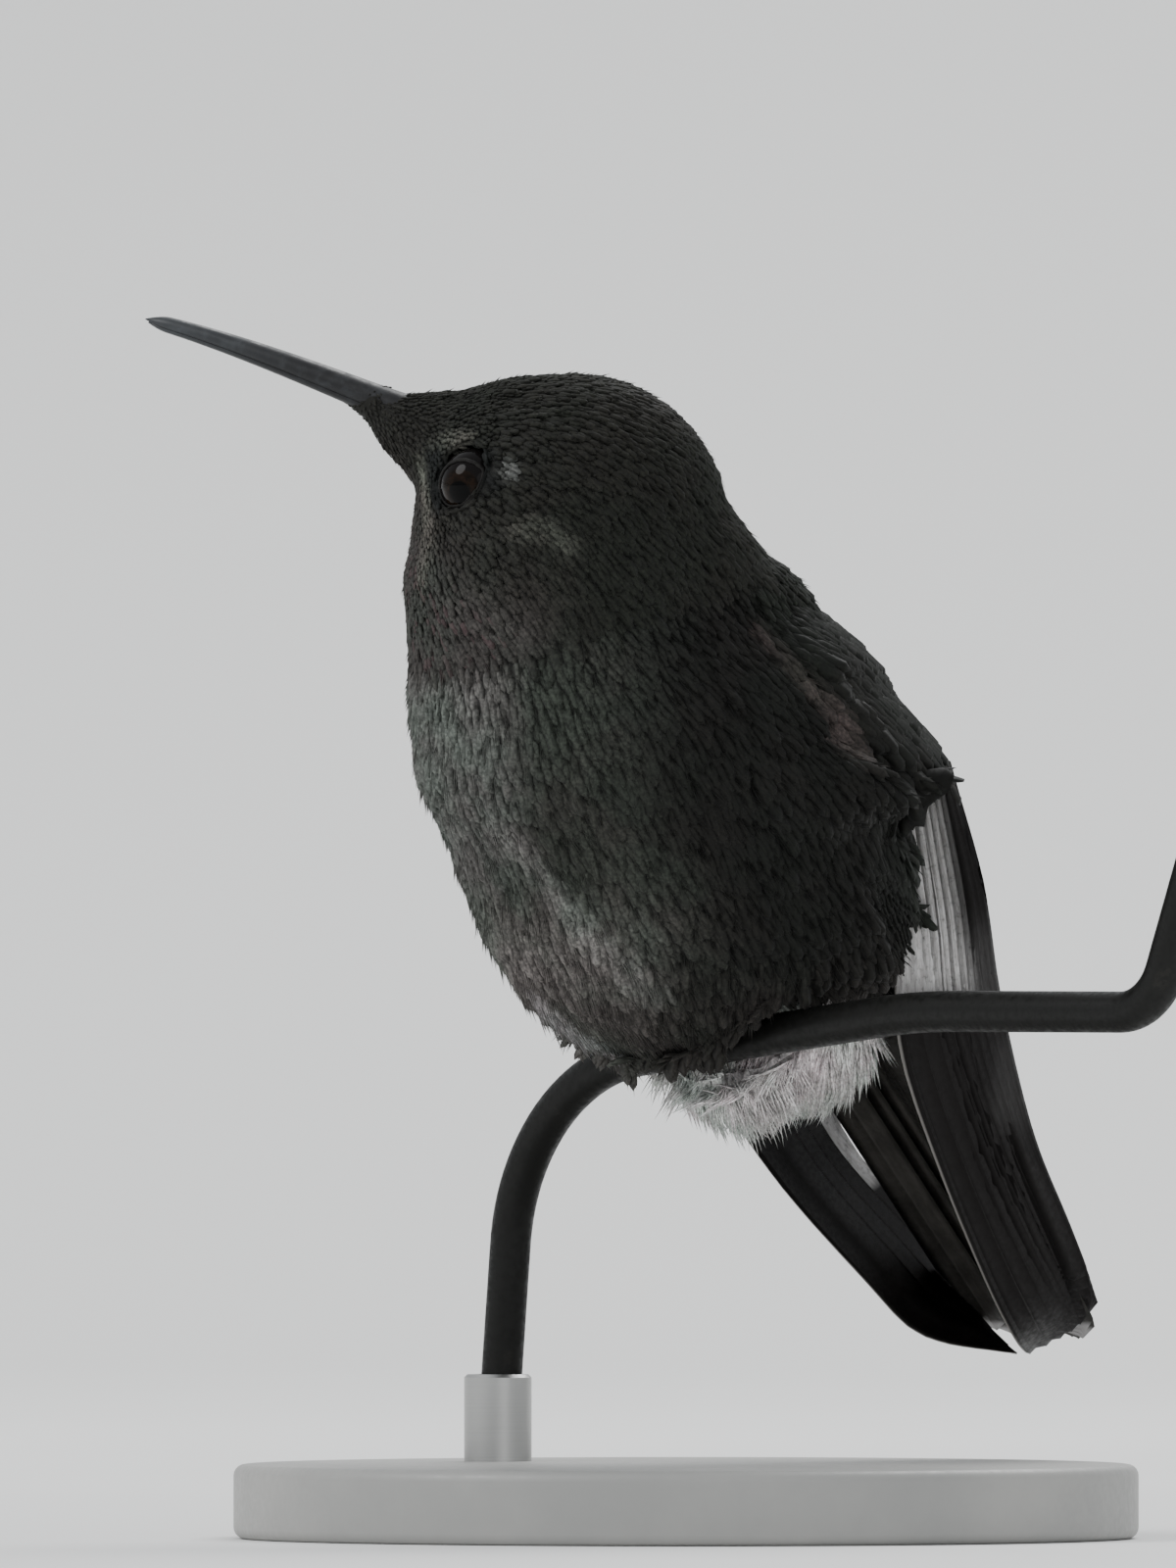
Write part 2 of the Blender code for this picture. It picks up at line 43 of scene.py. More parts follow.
# A female Anna's hummingbird on a bent wire. The body faces -X, its left side is -Y,
# and the head is turned to the bird's right, lifted and a little tilted.


# small helpers

def vec(*values):
    return Vector(values) * mm


def smooth(low, high, value):
    t = np.clip((value - low) / (high - low), 0, 1)
    return t * t * (3 - 2 * t)


def unit(rows):
    return rows / np.maximum(np.linalg.norm(rows, axis=-1, keepdims=True), 1e-12)


def mirrored(side, x, y, z):
    # one direction for every point, given for the right side
    return np.stack([x + 0 * side, y * side, z + 0 * side], 1)


def addObject(name, data, material=None):
    made = bpy.data.objects.new(name, data)
    bpy.context.scene.collection.objects.link(made)
    if material:
        data.materials.clear()
        data.materials.append(material)
    return made


def meshFrom(name, points, faces):
    mesh = bpy.data.meshes.new(name)
    mesh.from_pydata([tuple(p) for p in points], [], [tuple(f) for f in faces])
    mesh.update()
    mesh.shade_smooth()
    return mesh


def meshFromBmesh(name, bm):
    mesh = bpy.data.meshes.new(name)
    bm.to_mesh(mesh)
    bm.free()
    mesh.shade_smooth()
    return mesh


def mergedNode(name):
    # a merged copy of a CAD node
    bm = bmesh.new()
    bm.from_mesh(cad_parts[name].data)
    bmesh.ops.remove_doubles(bm, verts=bm.verts, dist=0.004 * mm)
    return bm


def facingOut(mesh):
    bm = bmesh.new()
    bm.from_mesh(mesh)
    bmesh.ops.recalc_face_normals(bm, faces=bm.faces)
    bm.to_mesh(mesh)
    bm.free()
    mesh.shade_smooth()


def store(mesh, name, values, kind="FLOAT", domain="POINT"):
    field = {"FLOAT": "value", "FLOAT_VECTOR": "vector", "FLOAT_COLOR": "color"}[kind]
    made = mesh.attributes.new(name, kind, domain)
    made.data.foreach_set(field, np.ascontiguousarray(values, np.float32).ravel())


def readArray(items, field, width=1, kind=np.float32):
    made = np.empty(len(items) * width, kind)
    items.foreach_get(field, made)
    return made.reshape(-1, width) if width > 1 else made


def pointsOf(mesh):
    return readArray(mesh.vertices, "co", 3).astype(float)


def movePoints(mesh, places):
    mesh.vertices.foreach_set("co", places.astype(np.float32).ravel())
    mesh.update()


def finishMesh(obj):
    graph = bpy.context.evaluated_depsgraph_get()
    done = bpy.data.meshes.new_from_object(obj.evaluated_get(graph))
    obj.modifiers.clear()
    obj.data = done


def riding(obj, slot, *nodes):
    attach(obj, "root")
    if nodes:
        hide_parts(*nodes)
    return obj


def ringFaces(sides, rings, caps=True):
    # walls between rings of points, and a cap at each end
    faces = []
    for low in range(0, (rings - 1) * sides, sides):
        for k in range(sides):
            n = (k + 1) % sides
            faces.append((low + k, low + n, low + sides + n, low + sides + k))
    if caps:
        faces.append(tuple(range(sides))[::-1])
        faces.append(tuple(range((rings - 1) * sides, rings * sides)))
    return faces


def tubeAlong(path, radii, sides):
    points = []
    side = None
    for i, at in enumerate(path):
        along = (path[min(i + 1, len(path) - 1)] - path[max(i - 1, 0)]).normalized()
        guess = side or along.orthogonal()
        side = (guess - along * guess.dot(along)).normalized()
        other = along.cross(side)
        for k in range(sides):
            turn = 2 * math.pi * k / sides
            points.append(at + (side * math.cos(turn) + other * math.sin(turn)) * radii[i])
    return points, ringFaces(sides, len(path))


def joined(name, parts):
    points, faces = [], []
    for some, these in parts:
        start = len(points)
        points += some
        faces += [tuple(k + start for k in face) for face in these]
    mesh = meshFrom(name, points, faces)
    facingOut(mesh)
    return mesh


def splineThrough(points, count):
    padded = [points[0] * 2 - points[1], *points, points[-1] * 2 - points[-2]]
    made = []
    for i in range(count):
        place = i / (count - 1) * (len(points) - 1)
        k = min(int(place), len(points) - 2)
        t = place - k
        a, b, c, d = padded[k:k + 4]
        bend, twist = 2 * a - 5 * b + 4 * c - d, 3 * b - a - 3 * c + d
        made.append(0.5 * (2 * b + (c - a) * t + bend * t**2 + twist * t**3))
    return made


# materials: one class wraps a socket, one builds a material

class Value:
    def __init__(self, tree, socket):
        self.tree, self.socket = tree, socket

    def math(self, operation, first, second):
        made = self.tree.nodes.new("ShaderNodeMath")
        made.operation = operation
        for place, value in zip(made.inputs, (first, second)):
            plug(self.tree, place, value)
        return Value(self.tree, made.outputs[0])


for word, operation in (("add", "ADD"), ("sub", "SUBTRACT"), ("mul", "MULTIPLY")):
    setattr(Value, f"__{word}__", lambda self, other, kind=operation: self.math(kind, self, other))
    setattr(Value, f"__r{word}__", lambda self, other, kind=operation: self.math(kind, other, self))


def plug(tree, place, value):
    if isinstance(value, Value):
        tree.links.new(value.socket, place)
    elif place.type == "RGBA" and len(value) == 3:
        place.default_value = (*value, 1)
    else:
        place.default_value = value


class Finish:
    def __init__(self, name, **fixed):
        self.material = bpy.data.materials.new(name)
        self.material.use_nodes = True
        self.tree = self.material.node_tree
        self.shader = self.tree.nodes["Principled BSDF"]
        for socket, value in fixed.items():
            self.set(socket.replace("_", " "), value)

    def set(self, socket, value):
        plug(self.tree, self.shader.inputs[socket], value)

    def node(self, kind, settings=None, values=None, out=0):
        made = self.tree.nodes.new(kind)
        for key, value in (settings or {}).items():
            setattr(made, key, value)
        for key, value in (values or {}).items():
            plug(self.tree, made.inputs[key], value)
        return Value(self.tree, made.outputs[out])

    def place(self):
        return self.node("ShaderNodeTexCoord", out="Object")

    def stored(self, name, out="Fac"):
        return self.node("ShaderNodeAttribute", {"attribute_name": name}, out=out)

    def noise(self, scale, detail, rough=0.6, at=None, warp=0.0):
        values = {
            "Vector": at or self.place(), "Scale": scale, "Detail": detail, "Roughness": rough,
            "Distortion": warp,
        }
        return self.node("ShaderNodeTexNoise", values=values, out="Fac")

    def spread(self, value, low, high):
        values = {"Value": value, "From Min": low, "From Max": high}
        return self.node("ShaderNodeMapRange", {"interpolation_type": "SMOOTHSTEP"}, values)

    def mix(self, factor, first, second, blend="MIX"):
        made = self.tree.nodes.new("ShaderNodeMix")
        made.data_type = "RGBA"
        made.blend_type = blend
        plug(self.tree, made.inputs["Factor"], factor)
        plug(self.tree, made.inputs[6], first)
        plug(self.tree, made.inputs[7], second)
        return Value(self.tree, made.outputs[2])

    def scaled(self, colour, amount):
        values = {"Red": amount, "Green": amount, "Blue": amount}
        return self.mix(1.0, colour, self.node("ShaderNodeCombineColor", values=values), "MULTIPLY")

    def split(self, vector):
        made = self.tree.nodes.new("ShaderNodeSeparateXYZ")
        plug(self.tree, made.inputs[0], vector)
        return [Value(self.tree, out) for out in made.outputs]

    def bump(self, height, distance, strength):
        values = {"Height": height, "Distance": distance, "Strength": strength}
        self.set("Normal", self.node("ShaderNodeBump", values=values))

    def done(self, share, dark, light, rough, *relief):
        self.set("Base Color", self.mix(share, dark, light))
        self.set("Roughness", rough)
        self.bump(*relief)
        return self.material


# where things are on the bird: named places shared by the pieces

bird = {
    "headCentre": vec(-10.0, 0, 62.3),
    "headTurn": math.radians(63),
    "headPitch": math.radians(21),
    "headRoll": math.radians(22),
    "hoodEdge": vec(-8.0, 0, 57.3),
    "hoodNormal": Vector((-0.256, 0.16, 1.0)).normalized(),
    "billLift": 3.3 * mm,
    "billStart": 14.3 * mm,
    "eyeRadius": 2.3 * mm,
    "eyePlace": Vector((4.9, 3.4, 5.3)) * mm,  # in the head's axes, for the left eye
    "trunkCentre": vec(-1.3, 0, 44.8),
    "trunkPitch": math.radians(55),
    "tailPitch": math.radians(47.9),
    "tailRoot": vec(9.6, 0, 37.77),
}


def slopingAxes(pitch):
    along = Vector((math.cos(pitch), 0, -math.sin(pitch)))
    up = Vector((math.sin(pitch), 0, math.cos(pitch)))
    return Matrix((along, Vector((0, 1, 0)), up)).transposed()


def headFrame():
    level = Vector((-math.cos(bird["headTurn"]), math.sin(bird["headTurn"]), 0))
    forward = level * math.cos(bird["headPitch"]) + Vector((0, 0, math.sin(bird["headPitch"])))
    left = Vector((0, 0, 1)).cross(forward).normalized()
    up = forward.cross(left)
    roll = bird["headRoll"]
    tiltedLeft = left * math.cos(roll) - up * math.sin(roll)
    tiltedUp = up * math.cos(roll) + left * math.sin(roll)
    return Matrix((forward, tiltedUp, tiltedLeft)).transposed()


headAxes = headFrame()  # columns: along the bill, up, and the bird's left
trunkAxes = slopingAxes(bird["trunkPitch"])  # columns: towards the tail, sideways, and out of the back
tailAxes = slopingAxes(bird["tailPitch"])


def inHead(forward, up, left):
    return bird["headCentre"] + headAxes @ Vector((forward, up, left))


# camera, floor and light

view = {
    "azimuth": math.radians(-45),
    "aim": vec(-4.29, 4.29, 46.67),
    "distance": 2.6,
    "seenHeight": 97.0 * mm,
    "sensor": 36,
}


def setCamera():
    back = Vector((math.sin(view["azimuth"]), -math.cos(view["azimuth"]), 0))
    lens = bpy.data.cameras.new("camera")
    lens.sensor_width = view["sensor"]
    lens.lens = view["sensor"] * view["distance"] / view["seenHeight"]
    lens.clip_start = 0.05
    lens.clip_end = 20
    camera = addObject("camera", lens)
    camera.location = view["aim"] + back * view["distance"]
    camera.rotation_euler = back.to_track_quat("Z", "Y").to_euler()
    bpy.context.scene.camera = camera


room = {
    "floorSize": 4.0,
    "wallDistance": 0.9,
    "wallBend": 0.12,
    "bendSteps": 12,
    "wallHeight": 0.19,  # just enough to fill the frame behind the bird
    "litHeight": 0.045,
    "sky": (0.90, 0.93, 0.96),
    "skyPower": 0.75,
}
lamps = {
    # distance to the right, towards the camera and up, then size and power
    "key": (-0.75, 0.30, 0.75, 0.55, 6.0),
    "fill": (0.35, 0.9, 0.35, 0.7, 1.3),
    "back": (0.25, -0.55, 0.75, 0.6, 6.0),
}


def setRoom():
    half, far, bend = room["floorSize"], room["wallDistance"], room["wallBend"]
    profile = [(-half, 0.0)]
    for k in range(room["bendSteps"] + 1):
        turn = math.pi / 2 * k / room["bendSteps"]
        profile.append((far - bend + bend * math.sin(turn), bend - bend * math.cos(turn)))
    profile.append((far, room["wallHeight"]))
    a = view["azimuth"]
    away, side = Vector((-math.sin(a), math.cos(a), 0)), Vector((math.cos(a), math.sin(a), 0))
    points, faces = [], []
    for out, up in profile:
        for across in (-half, half):
            points.append(away * out + side * across + Vector((0, 0, up)))
    for k in range(0, 2 * len(profile) - 2, 2):
        faces.append((k, k + 1, k + 3, k + 2))
    pale = Finish("pale_floor", Roughness=0.9)
    tint = pale.spread(pale.noise(3.0, 2, 0.55), 0.3, 0.7)
    pale.set("Base Color", pale.mix(tint, (0.80, 0.80, 0.79), (0.84, 0.84, 0.83)))
    addObject("pale_room", meshFrom("pale_room", points, faces), pale.material)

    world = bpy.data.worlds.new("soft_sky")
    world.use_nodes = True
    sky = world.node_tree.nodes["Background"]
    sky.inputs["Color"].default_value = (*room["sky"], 1)
    sky.inputs["Strength"].default_value = room["skyPower"]
    bpy.context.scene.world = world
    for name, (across, near, up, size, power) in lamps.items():
        lamp = bpy.data.lights.new(name, "AREA")
        lamp.shape = "DISK"
        lamp.size = size
        lamp.energy = power
        made = addObject(name, lamp)
        made.location = side * across - away * near + Vector((0, 0, up))
        aim = made.location - Vector((0, 0, room["litHeight"]))
        made.rotation_euler = aim.to_track_quat("Z", "Y").to_euler()


setCamera()
setRoom()
print("camera, floor and light set")


# the skin: one closed surface over all the flesh, kept as the root for every feather

fleshNodes = (
    "head", "neck", "trunk", "rump", "undertail_coverts", "wing_left_coverts", "wing_right_coverts",
)
skinLook = {
    "bridge": 0.22 * mm,  # how far each form is grown so that the thin cuts close
    "voxel": 0.36 * mm,
    "rounding": 8,
    "hoodRounding": 70,
    "faceDepth": 0.18 * mm,
    "hoodDepth": 0.32 * mm,
    "bodyDepth": 0.62 * mm,
    "backDepth": 0.42 * mm,
    "ventDepth": 1.0 * mm,
    "rimRise": 0.30,  # mm, just below the hood
    "sleeve": 3.8 * mm,  # short feathers that run out along the bill
    "sleeveRoot": 1.75 * mm,
    "sleeveTip": 0.70 * mm,
}


def blurred(mesh, values, rounds):
    pairs = readArray(mesh.edges, "vertices", 2, np.int32)
    count = np.bincount(pairs.ravel(), minlength=len(mesh.vertices)).astype(float)
    values = np.asarray(values, float)
    for _ in range(rounds):
        total = np.bincount(pairs[:, 0], values[pairs[:, 1]], len(count))
        total += np.bincount(pairs[:, 1], values[pairs[:, 0]], len(count))
        values = 0.5 * values + 0.5 * total / np.maximum(count, 1)
    return values


def nearestFlesh(places):
    best = np.full(len(places), 1e9)
    label = np.zeros(len(places), int)
    for k, name in enumerate(fleshNodes):
        bm = mergedNode(name)
        tree = BVHTree.FromBMesh(bm)
        bm.free()
        for i, place in enumerate(places):
            found = tree.find_nearest(place, best[i])
            if found[0] is not None and found[3] < best[i]:
                best[i], label[i] = found[3], k
    return label


def aboveHood(spot):
    # mm above the lower edge of the hood
    return (spot - np.array(bird["hoodEdge"]) / mm) @ np.array(bird["hoodNormal"])


def makeSkin():
    whole = bmesh.new()
    for name in fleshNodes:
        bm = mergedNode(name)
        bm.normal_update()
        for vert in bm.verts:
            vert.co += vert.normal * skinLook["bridge"]
        part = bpy.data.meshes.new("part")
        bm.to_mesh(part)
        bm.free()
        whole.from_mesh(part)
        bpy.data.meshes.remove(part)
    at = inHead(bird["billStart"] + skinLook["sleeve"] * 0.4, bird["billLift"] - 0.15 * mm, 0)
    along, up, across = (headAxes.col[i].copy() for i in range(3))
    turn = Matrix((across, up, along)).transposed().to_4x4()
    bmesh.ops.create_cone(
        whole, cap_ends=True, segments=24, radius1=skinLook["sleeveRoot"], radius2=skinLook["sleeveTip"],
        depth=skinLook["sleeve"], matrix=Matrix.Translation(at) @ turn,
    )
    skin = addObject("skin", meshFromBmesh("skin", whole))
    remesh = skin.modifiers.new("one_surface", "REMESH")
    remesh.mode = "VOXEL"
    remesh.voxel_size = skinLook["voxel"]
    remesh.use_smooth_shade = True
    soften = skin.modifiers.new("soften", "SMOOTH")
    soften.factor = 0.5
    soften.iterations = skinLook["rounding"]
    finishMesh(skin)
    mesh = skin.data
    places = pointsOf(mesh)
    away = np.abs((places - np.array(bird["hoodEdge"])) @ np.array(bird["hoodNormal"])) / mm
    ease = smooth(6.5, 3.0, away)[:, None]
    for _ in range(skinLook["hoodRounding"]):
        eased = np.stack([blurred(mesh, places[:, k], 2) for k in range(3)], 1)
        places = places * (1 - ease) + eased * ease
    movePoints(mesh, places)
    return skin


def regionMasks(mesh):
    # how much of each point belongs to each tract; spot is its place in mm, head the same in the head's axes
    places = pointsOf(mesh)
    label = nearestFlesh(places)
    of = {name: blurred(mesh, label == k, 3) for k, name in enumerate(fleshNodes)}
    head = (places - np.array(bird["headCentre"])) @ np.array(headAxes) / mm
    spot = places / mm
    x, y, z = spot.T
    forward, up = head.T[:2]
    hood, trunk = of["head"] + of["neck"], of["trunk"]
    dorsal = (places - np.array(bird["trunkCentre"])) @ np.array(trunkAxes)[:, 2] / mm
    masks = {
        "face": hood * smooth(4.0, 6.5, forward) * smooth(-7.5, -5.0, up),
        "vent": of["undertail_coverts"],
        "rump": of["rump"],
        "coverts": of["wing_left_coverts"] + of["wing_right_coverts"],
        "back": trunk * smooth(3.0, 6.5, dorsal),
        "drape": trunk * smooth(37.5, 34.5, z) * smooth(3.0, -1.0, x),
    }
    masks["hood"] = np.clip(hood - masks["face"], 0, 1)
    masks["breast"] = np.clip(trunk - masks["back"] - masks["drape"], 0, 1)
    seam = -0.6 * x + 0.8 * y + 6.0
    masks["breastLeft"] = masks["breast"] * (seam < 4.0)
    masks["breastRight"] = masks["breast"] * (seam >= 4.0)
    return spot, head, masks


# the lie of the feathers: which way each tract points

lie = {
    "nape": (0.62, 0, -0.78),
    "undertail": (-0.25, 0, -0.75),  # added to the tail's own slope
    "drape": (0.25, 0, -1.0),
    "coverts": (9.3, 1.2, -8.4),  # on the right wing
}


def setLie(mesh, places, head, normals, masks):
    billRoot = np.array(inHead(bird["billStart"], bird["billLift"], 0))
    headness = np.clip(masks["face"] + masks["hood"], 0, 1)[:, None]
    spread = smooth(-7.0, 2.0, head[:, 0])[:, None]
    fromBill = unit(unit(places - billRoot) * spread + unit(np.array(lie["nape"])) * (1 - spread))
    flow = headness * fromBill + (1 - headness) * np.array(trunkAxes)[:, 0]
    aims = (
        ("vent", np.array(tailAxes)[:, 0] + np.array(lie["undertail"])),
        ("drape", np.array(lie["drape"])),
        ("coverts", mirrored(np.sign(places[:, 1]), *lie["coverts"])),
    )
    for name, aim in aims:
        share = masks[name][:, None]
        flow = flow * (1 - share) + share * unit(aim)
    flow = unit(flow)
    facing = (flow * normals).sum(1)
    masks["coverts"] = masks["coverts"] * (1 - smooth(0.40, 0.60, facing))
    # no feathers on the end of the bill's sleeve or over the eyes
    bare = smooth(0.4, 0.75, normals @ np.array(headAxes)[:, 0]) * smooth(16.0, 16.6, head[:, 0])
    eyeSpot = np.array(bird["eyePlace"]) / mm + np.array((0.25, 0, 0))
    fromEye = np.linalg.norm(np.stack([head[:, 0], head[:, 1], np.abs(head[:, 2])], 1) - eyeSpot, axis=1)
    masks["face"] = masks["face"] * (1 - bare) * smooth(2.1, 2.5, fromEye)
    flow -= normals * (flow * normals).sum(1, keepdims=True)
    store(mesh, "lie", unit(flow), "FLOAT_VECTOR")


# markings: soft patches and bands at named places, the same for skin and feathers

# coat tones are set darker than the plumage's own, as painted shade of a bird lit from behind
coatColours = {
    "crown": (0.0125, 0.0130, 0.0105),
    "cheek": (0.020, 0.0198, 0.0170),
    "throat": (0.043, 0.0425, 0.0395),
    "breast": (0.034, 0.0365, 0.0315),
    "breastLeft": (0.098, 0.101, 0.096),
    "flankAndShade": (0.0085, 0.0087, 0.0075),
    "belly": (0.170, 0.165, 0.158),
    "bellyLow": (0.040, 0.037, 0.034),
    "bellyLine": (0.200, 0.202, 0.195),
    "vent": (0.86, 0.85, 0.86),
    "back": (0.012, 0.014, 0.011),
    "coverts": (0.0095, 0.0102, 0.0085),
    "covertTip": (0.034, 0.024, 0.022),
    "wingEdge": (0.072, 0.058, 0.055),
    "lore": (0.105, 0.102, 0.090),
    "mask": (0.005, 0.006, 0.006),
    "spot": (0.105, 0.112, 0.108),
    "neckFoldShade": (0.020, 0.020, 0.018),
    "wisp": (0.38, 0.38, 0.39),
}
wispLine = ((-9.4, 5.0, 32.6), (-7.2, 4.6, 30.8), (-5.0, 4.0, 30.0))
bodyMarkings = (
    # colour, strength, width in mm, and the line that it follows in mm
    ("bellyLine", 0.5, 1.7, (
        (-17.2, -0.4, 44.5), (-16.2, -1.4, 41.8), (-14.2, -2.6, 38.9),
        (-11.6, -4.4, 36.9), (-9.4, -5.6, 34.4),
    )),
    # painted shade in the fold of the neck below the raised head
    ("neckFoldShade", 0.75, 2.4, (
        (-18.5, 5.0, 55.4), (-16.4, 0.7, 55.6), (-15.4, -5.9, 57.0),
        (-11.2, -9.6, 58.4), (-4.5, -9.4, 60.2),
    )),
    ("wisp", 0.7, 2.6, wispLine),
)
wingMarkings = (
    # the same, on the right wing
    ("wingEdge", 0.45, 1.0, ((-5.2, 10.9, 56.8), (-3.2, 12.5, 53.9))),
    ("wingEdge", 0.60, 1.2, ((-3.2, 12.5, 53.9), (-0.8, 13.6, 50.9))),
    ("wingEdge", 0.65, 1.5, ((-1.2, 13.8, 51.0), (1.0, 14.4, 47.4))),
)
faceMarkings = (
    # colour, strength, width, and places in the head's own axes for the left side
    ("lore", 0.85, 1.0, ((9.6, 2.8, 2.4), (9.4, 2.0, 3.8), (8.4, 1.5, 5.6), (7.4, 0.8, 6.8))),
    ("lore", 0.60, 1.3, ((7.4, 0.6, 6.8), (6.6, -0.8, 7.8), (6.0, -2.4, 8.2))),
    ("lore", 0.60, 1.1, ((8.9, 3.9, 3.4), (7.9, 4.9, 4.0), (6.7, 5.6, 4.7))),
    ("mask", 0.95, 1.6, ((8.6, 3.3, 3.9), (7.9, 3.0, 5.2), (6.9, 2.2, 6.4))),
    ("mask", 0.90, 1.3, ((4.8, 5.6, 6.2), (3.8, 5.0, 7.2))),
    ("spot", 0.90, 0.80, ((3.2, 6.4, 6.7), (2.9, 6.0, 7.1))),
    ("lore", 0.35, 1.1, ((1.0, 3.9, 9.2), (-0.4, 4.5, 8.9), (-2.4, 4.2, 8.8))),
)


def nearLine(spot, line, width):
    best = np.full(len(spot), 1e9)
    for a, b in zip(line, line[1:]):
        a, b = np.array(a, float), np.array(b, float)
        t = np.clip(((spot - a) @ (b - a)) / max((b - a) @ (b - a), 1e-9), 0, 1)
        best = np.minimum(best, np.linalg.norm(spot - (a + t[:, None] * (b - a)), axis=1))
    return smooth(width, width * 0.25, best)


def paint(mesh, spot, head, masks):
    x, y, z = spot.T
    forward, up, left = head.T
    colour = np.tile(np.array(coatColours["breast"]), (len(spot), 1))

    def lay(name, mask):
        nonlocal colour
        mask = np.clip(mask, 0, 1)[:, None]
        colour = colour * (1 - mask) + mask * np.array(coatColours[name])

    def draw(marks, places, mask=1.0):
        for name, strength, width, line in marks:
            lay(name, mask * strength * nearLine(places, line, width))

    # breast and belly laid paler towards the lit side: partly their own pale grey, partly painted light
    towardLitSide = -x * 0.707 + y * 0.707  # sideways distance towards the pale side of the breast
    lay("breastLeft", smooth(9.0, 13.5, towardLitSide) * smooth(38.0, 44.0, z))
    lay("belly", smooth(42.0, 34.0, z) * smooth(-1.0, 8.0, towardLitSide))
    # darker flanks: partly the plumage's own dark green, partly painted shade on the side turned from the
    # light
    shadedFlank = smooth(4.0, -5.0, towardLitSide - 4.0 * smooth(39.0, 47.0, z)) * (y < 0)
    lay("flankAndShade", shadedFlank + smooth(-6.0, -9.5, -y) * (y > 0) * smooth(-8, 0, x))
    lay("bellyLow", 0.5 * smooth(38.0, 33.0, z) * smooth(10.0, 4.0, x))
    lay("back", masks["back"] + masks["rump"])
    draw(bodyMarkings, spot)
    lay("coverts", masks["coverts"])
    alongWing = spot @ np.array((9.3, 0, -8.4)) / 12.53
    lay("covertTip", masks["coverts"] * smooth(-25.5, -22.5, alongWing))
    for side in (-1, 1):
        draw(wingMarkings, spot * (1, side, 1))
    headness = masks["face"] + masks["hood"]
    # head laid near black: partly the crown's own dark green, partly painted shade of a head turned from the
    # light
    lay("crown", headness)
    lay("cheek", headness * smooth(5.0, 1.0, up) * smooth(-7.0, -2.0, forward))
    lay("throat", headness * smooth(1.5, -2.0, up) * smooth(-6.0, -1.0, forward))
    draw(faceMarkings, np.stack([forward, up, np.abs(left)], 1), headness)
    lay("vent", masks["vent"] * smooth(33.8, 32.2, z))
    lay("vent", masks["drape"] * smooth(31.5, 29.8, z) * smooth(-0.5, 1.0, x) * 0.95)
    store(mesh, "tone", np.concatenate([colour, np.ones((len(spot), 1))], 1), "FLOAT_COLOR")
    store(mesh, "gorget", headness * smooth(0.0, -2.5, up) * smooth(-3.0, 1.0, forward))


# feathers: each shape is made once, one unit long from root to tip

def closedRings(sides, rings, start=0):
    # walls between rings of points, a point at the far end and a cap at the near one
    faces = []
    last = start + sides * (rings - 1)
    for low in range(start, last, sides):
        for k in range(sides):
            n = (k + 1) % sides
            faces.append((low + k, low + sides + k, low + sides + n, low + n))
    faces += [(last + k, last + sides, last + (k + 1) % sides) for k in range(sides)]
    faces.append(tuple(start + k for k in range(sides)))
    return faces


def vaneShape():
    # a closed, slightly cupped vane with a raised shaft
    stations = ((0.0, 0.14), (0.40, 0.46), (0.82, 0.36))
    points = []
    for along, half in stations:
        cup = 0.10 * math.sin(math.pi * min(1, along * 0.9))
        points += [(-half, along, 0.0), (0, along, 0.05 + cup), (half, along, 0.0)]
    points.append((0, 1.0, -0.02))
    return points, closedRings(3, len(stations))


def plumeShape(barbs, fan, thin, curl):
    # a loose tuft: narrow barbs that spread from one root
    points, faces = [], []
    for b in range(barbs):
        share = b / (barbs - 1) * 2 - 1
        reach = 1.0 - 0.22 * share * share - 0.12 * (b % 2)
        faces += closedRings(3, 2, len(points))
        for along, half in ((0.0, 0.7), (0.55, 1.0)):
            height = curl * along * along + 0.03 * (b % 3)
            centre = Vector((fan * share * along ** 0.8, along * reach, height))
            for k in range(3):
                turn = 2 * math.pi * k / 3 + math.pi / 2
                points.append(tuple(centre + Vector((math.cos(turn), 0, math.sin(turn) * 0.7)) * thin * half))
        points.append((fan * share * 1.05, reach, curl * 1.1 + 0.03 * (b % 3)))
    return points, faces


def featherTemplate(name, shape):
    mesh = joined(name, [shape])
    store(mesh, "leaf", pointsOf(mesh), "FLOAT_VECTOR")
    return addObject(name, mesh)


rootPatch = 0.003  # how far one feather reaches over the skin's flat layout


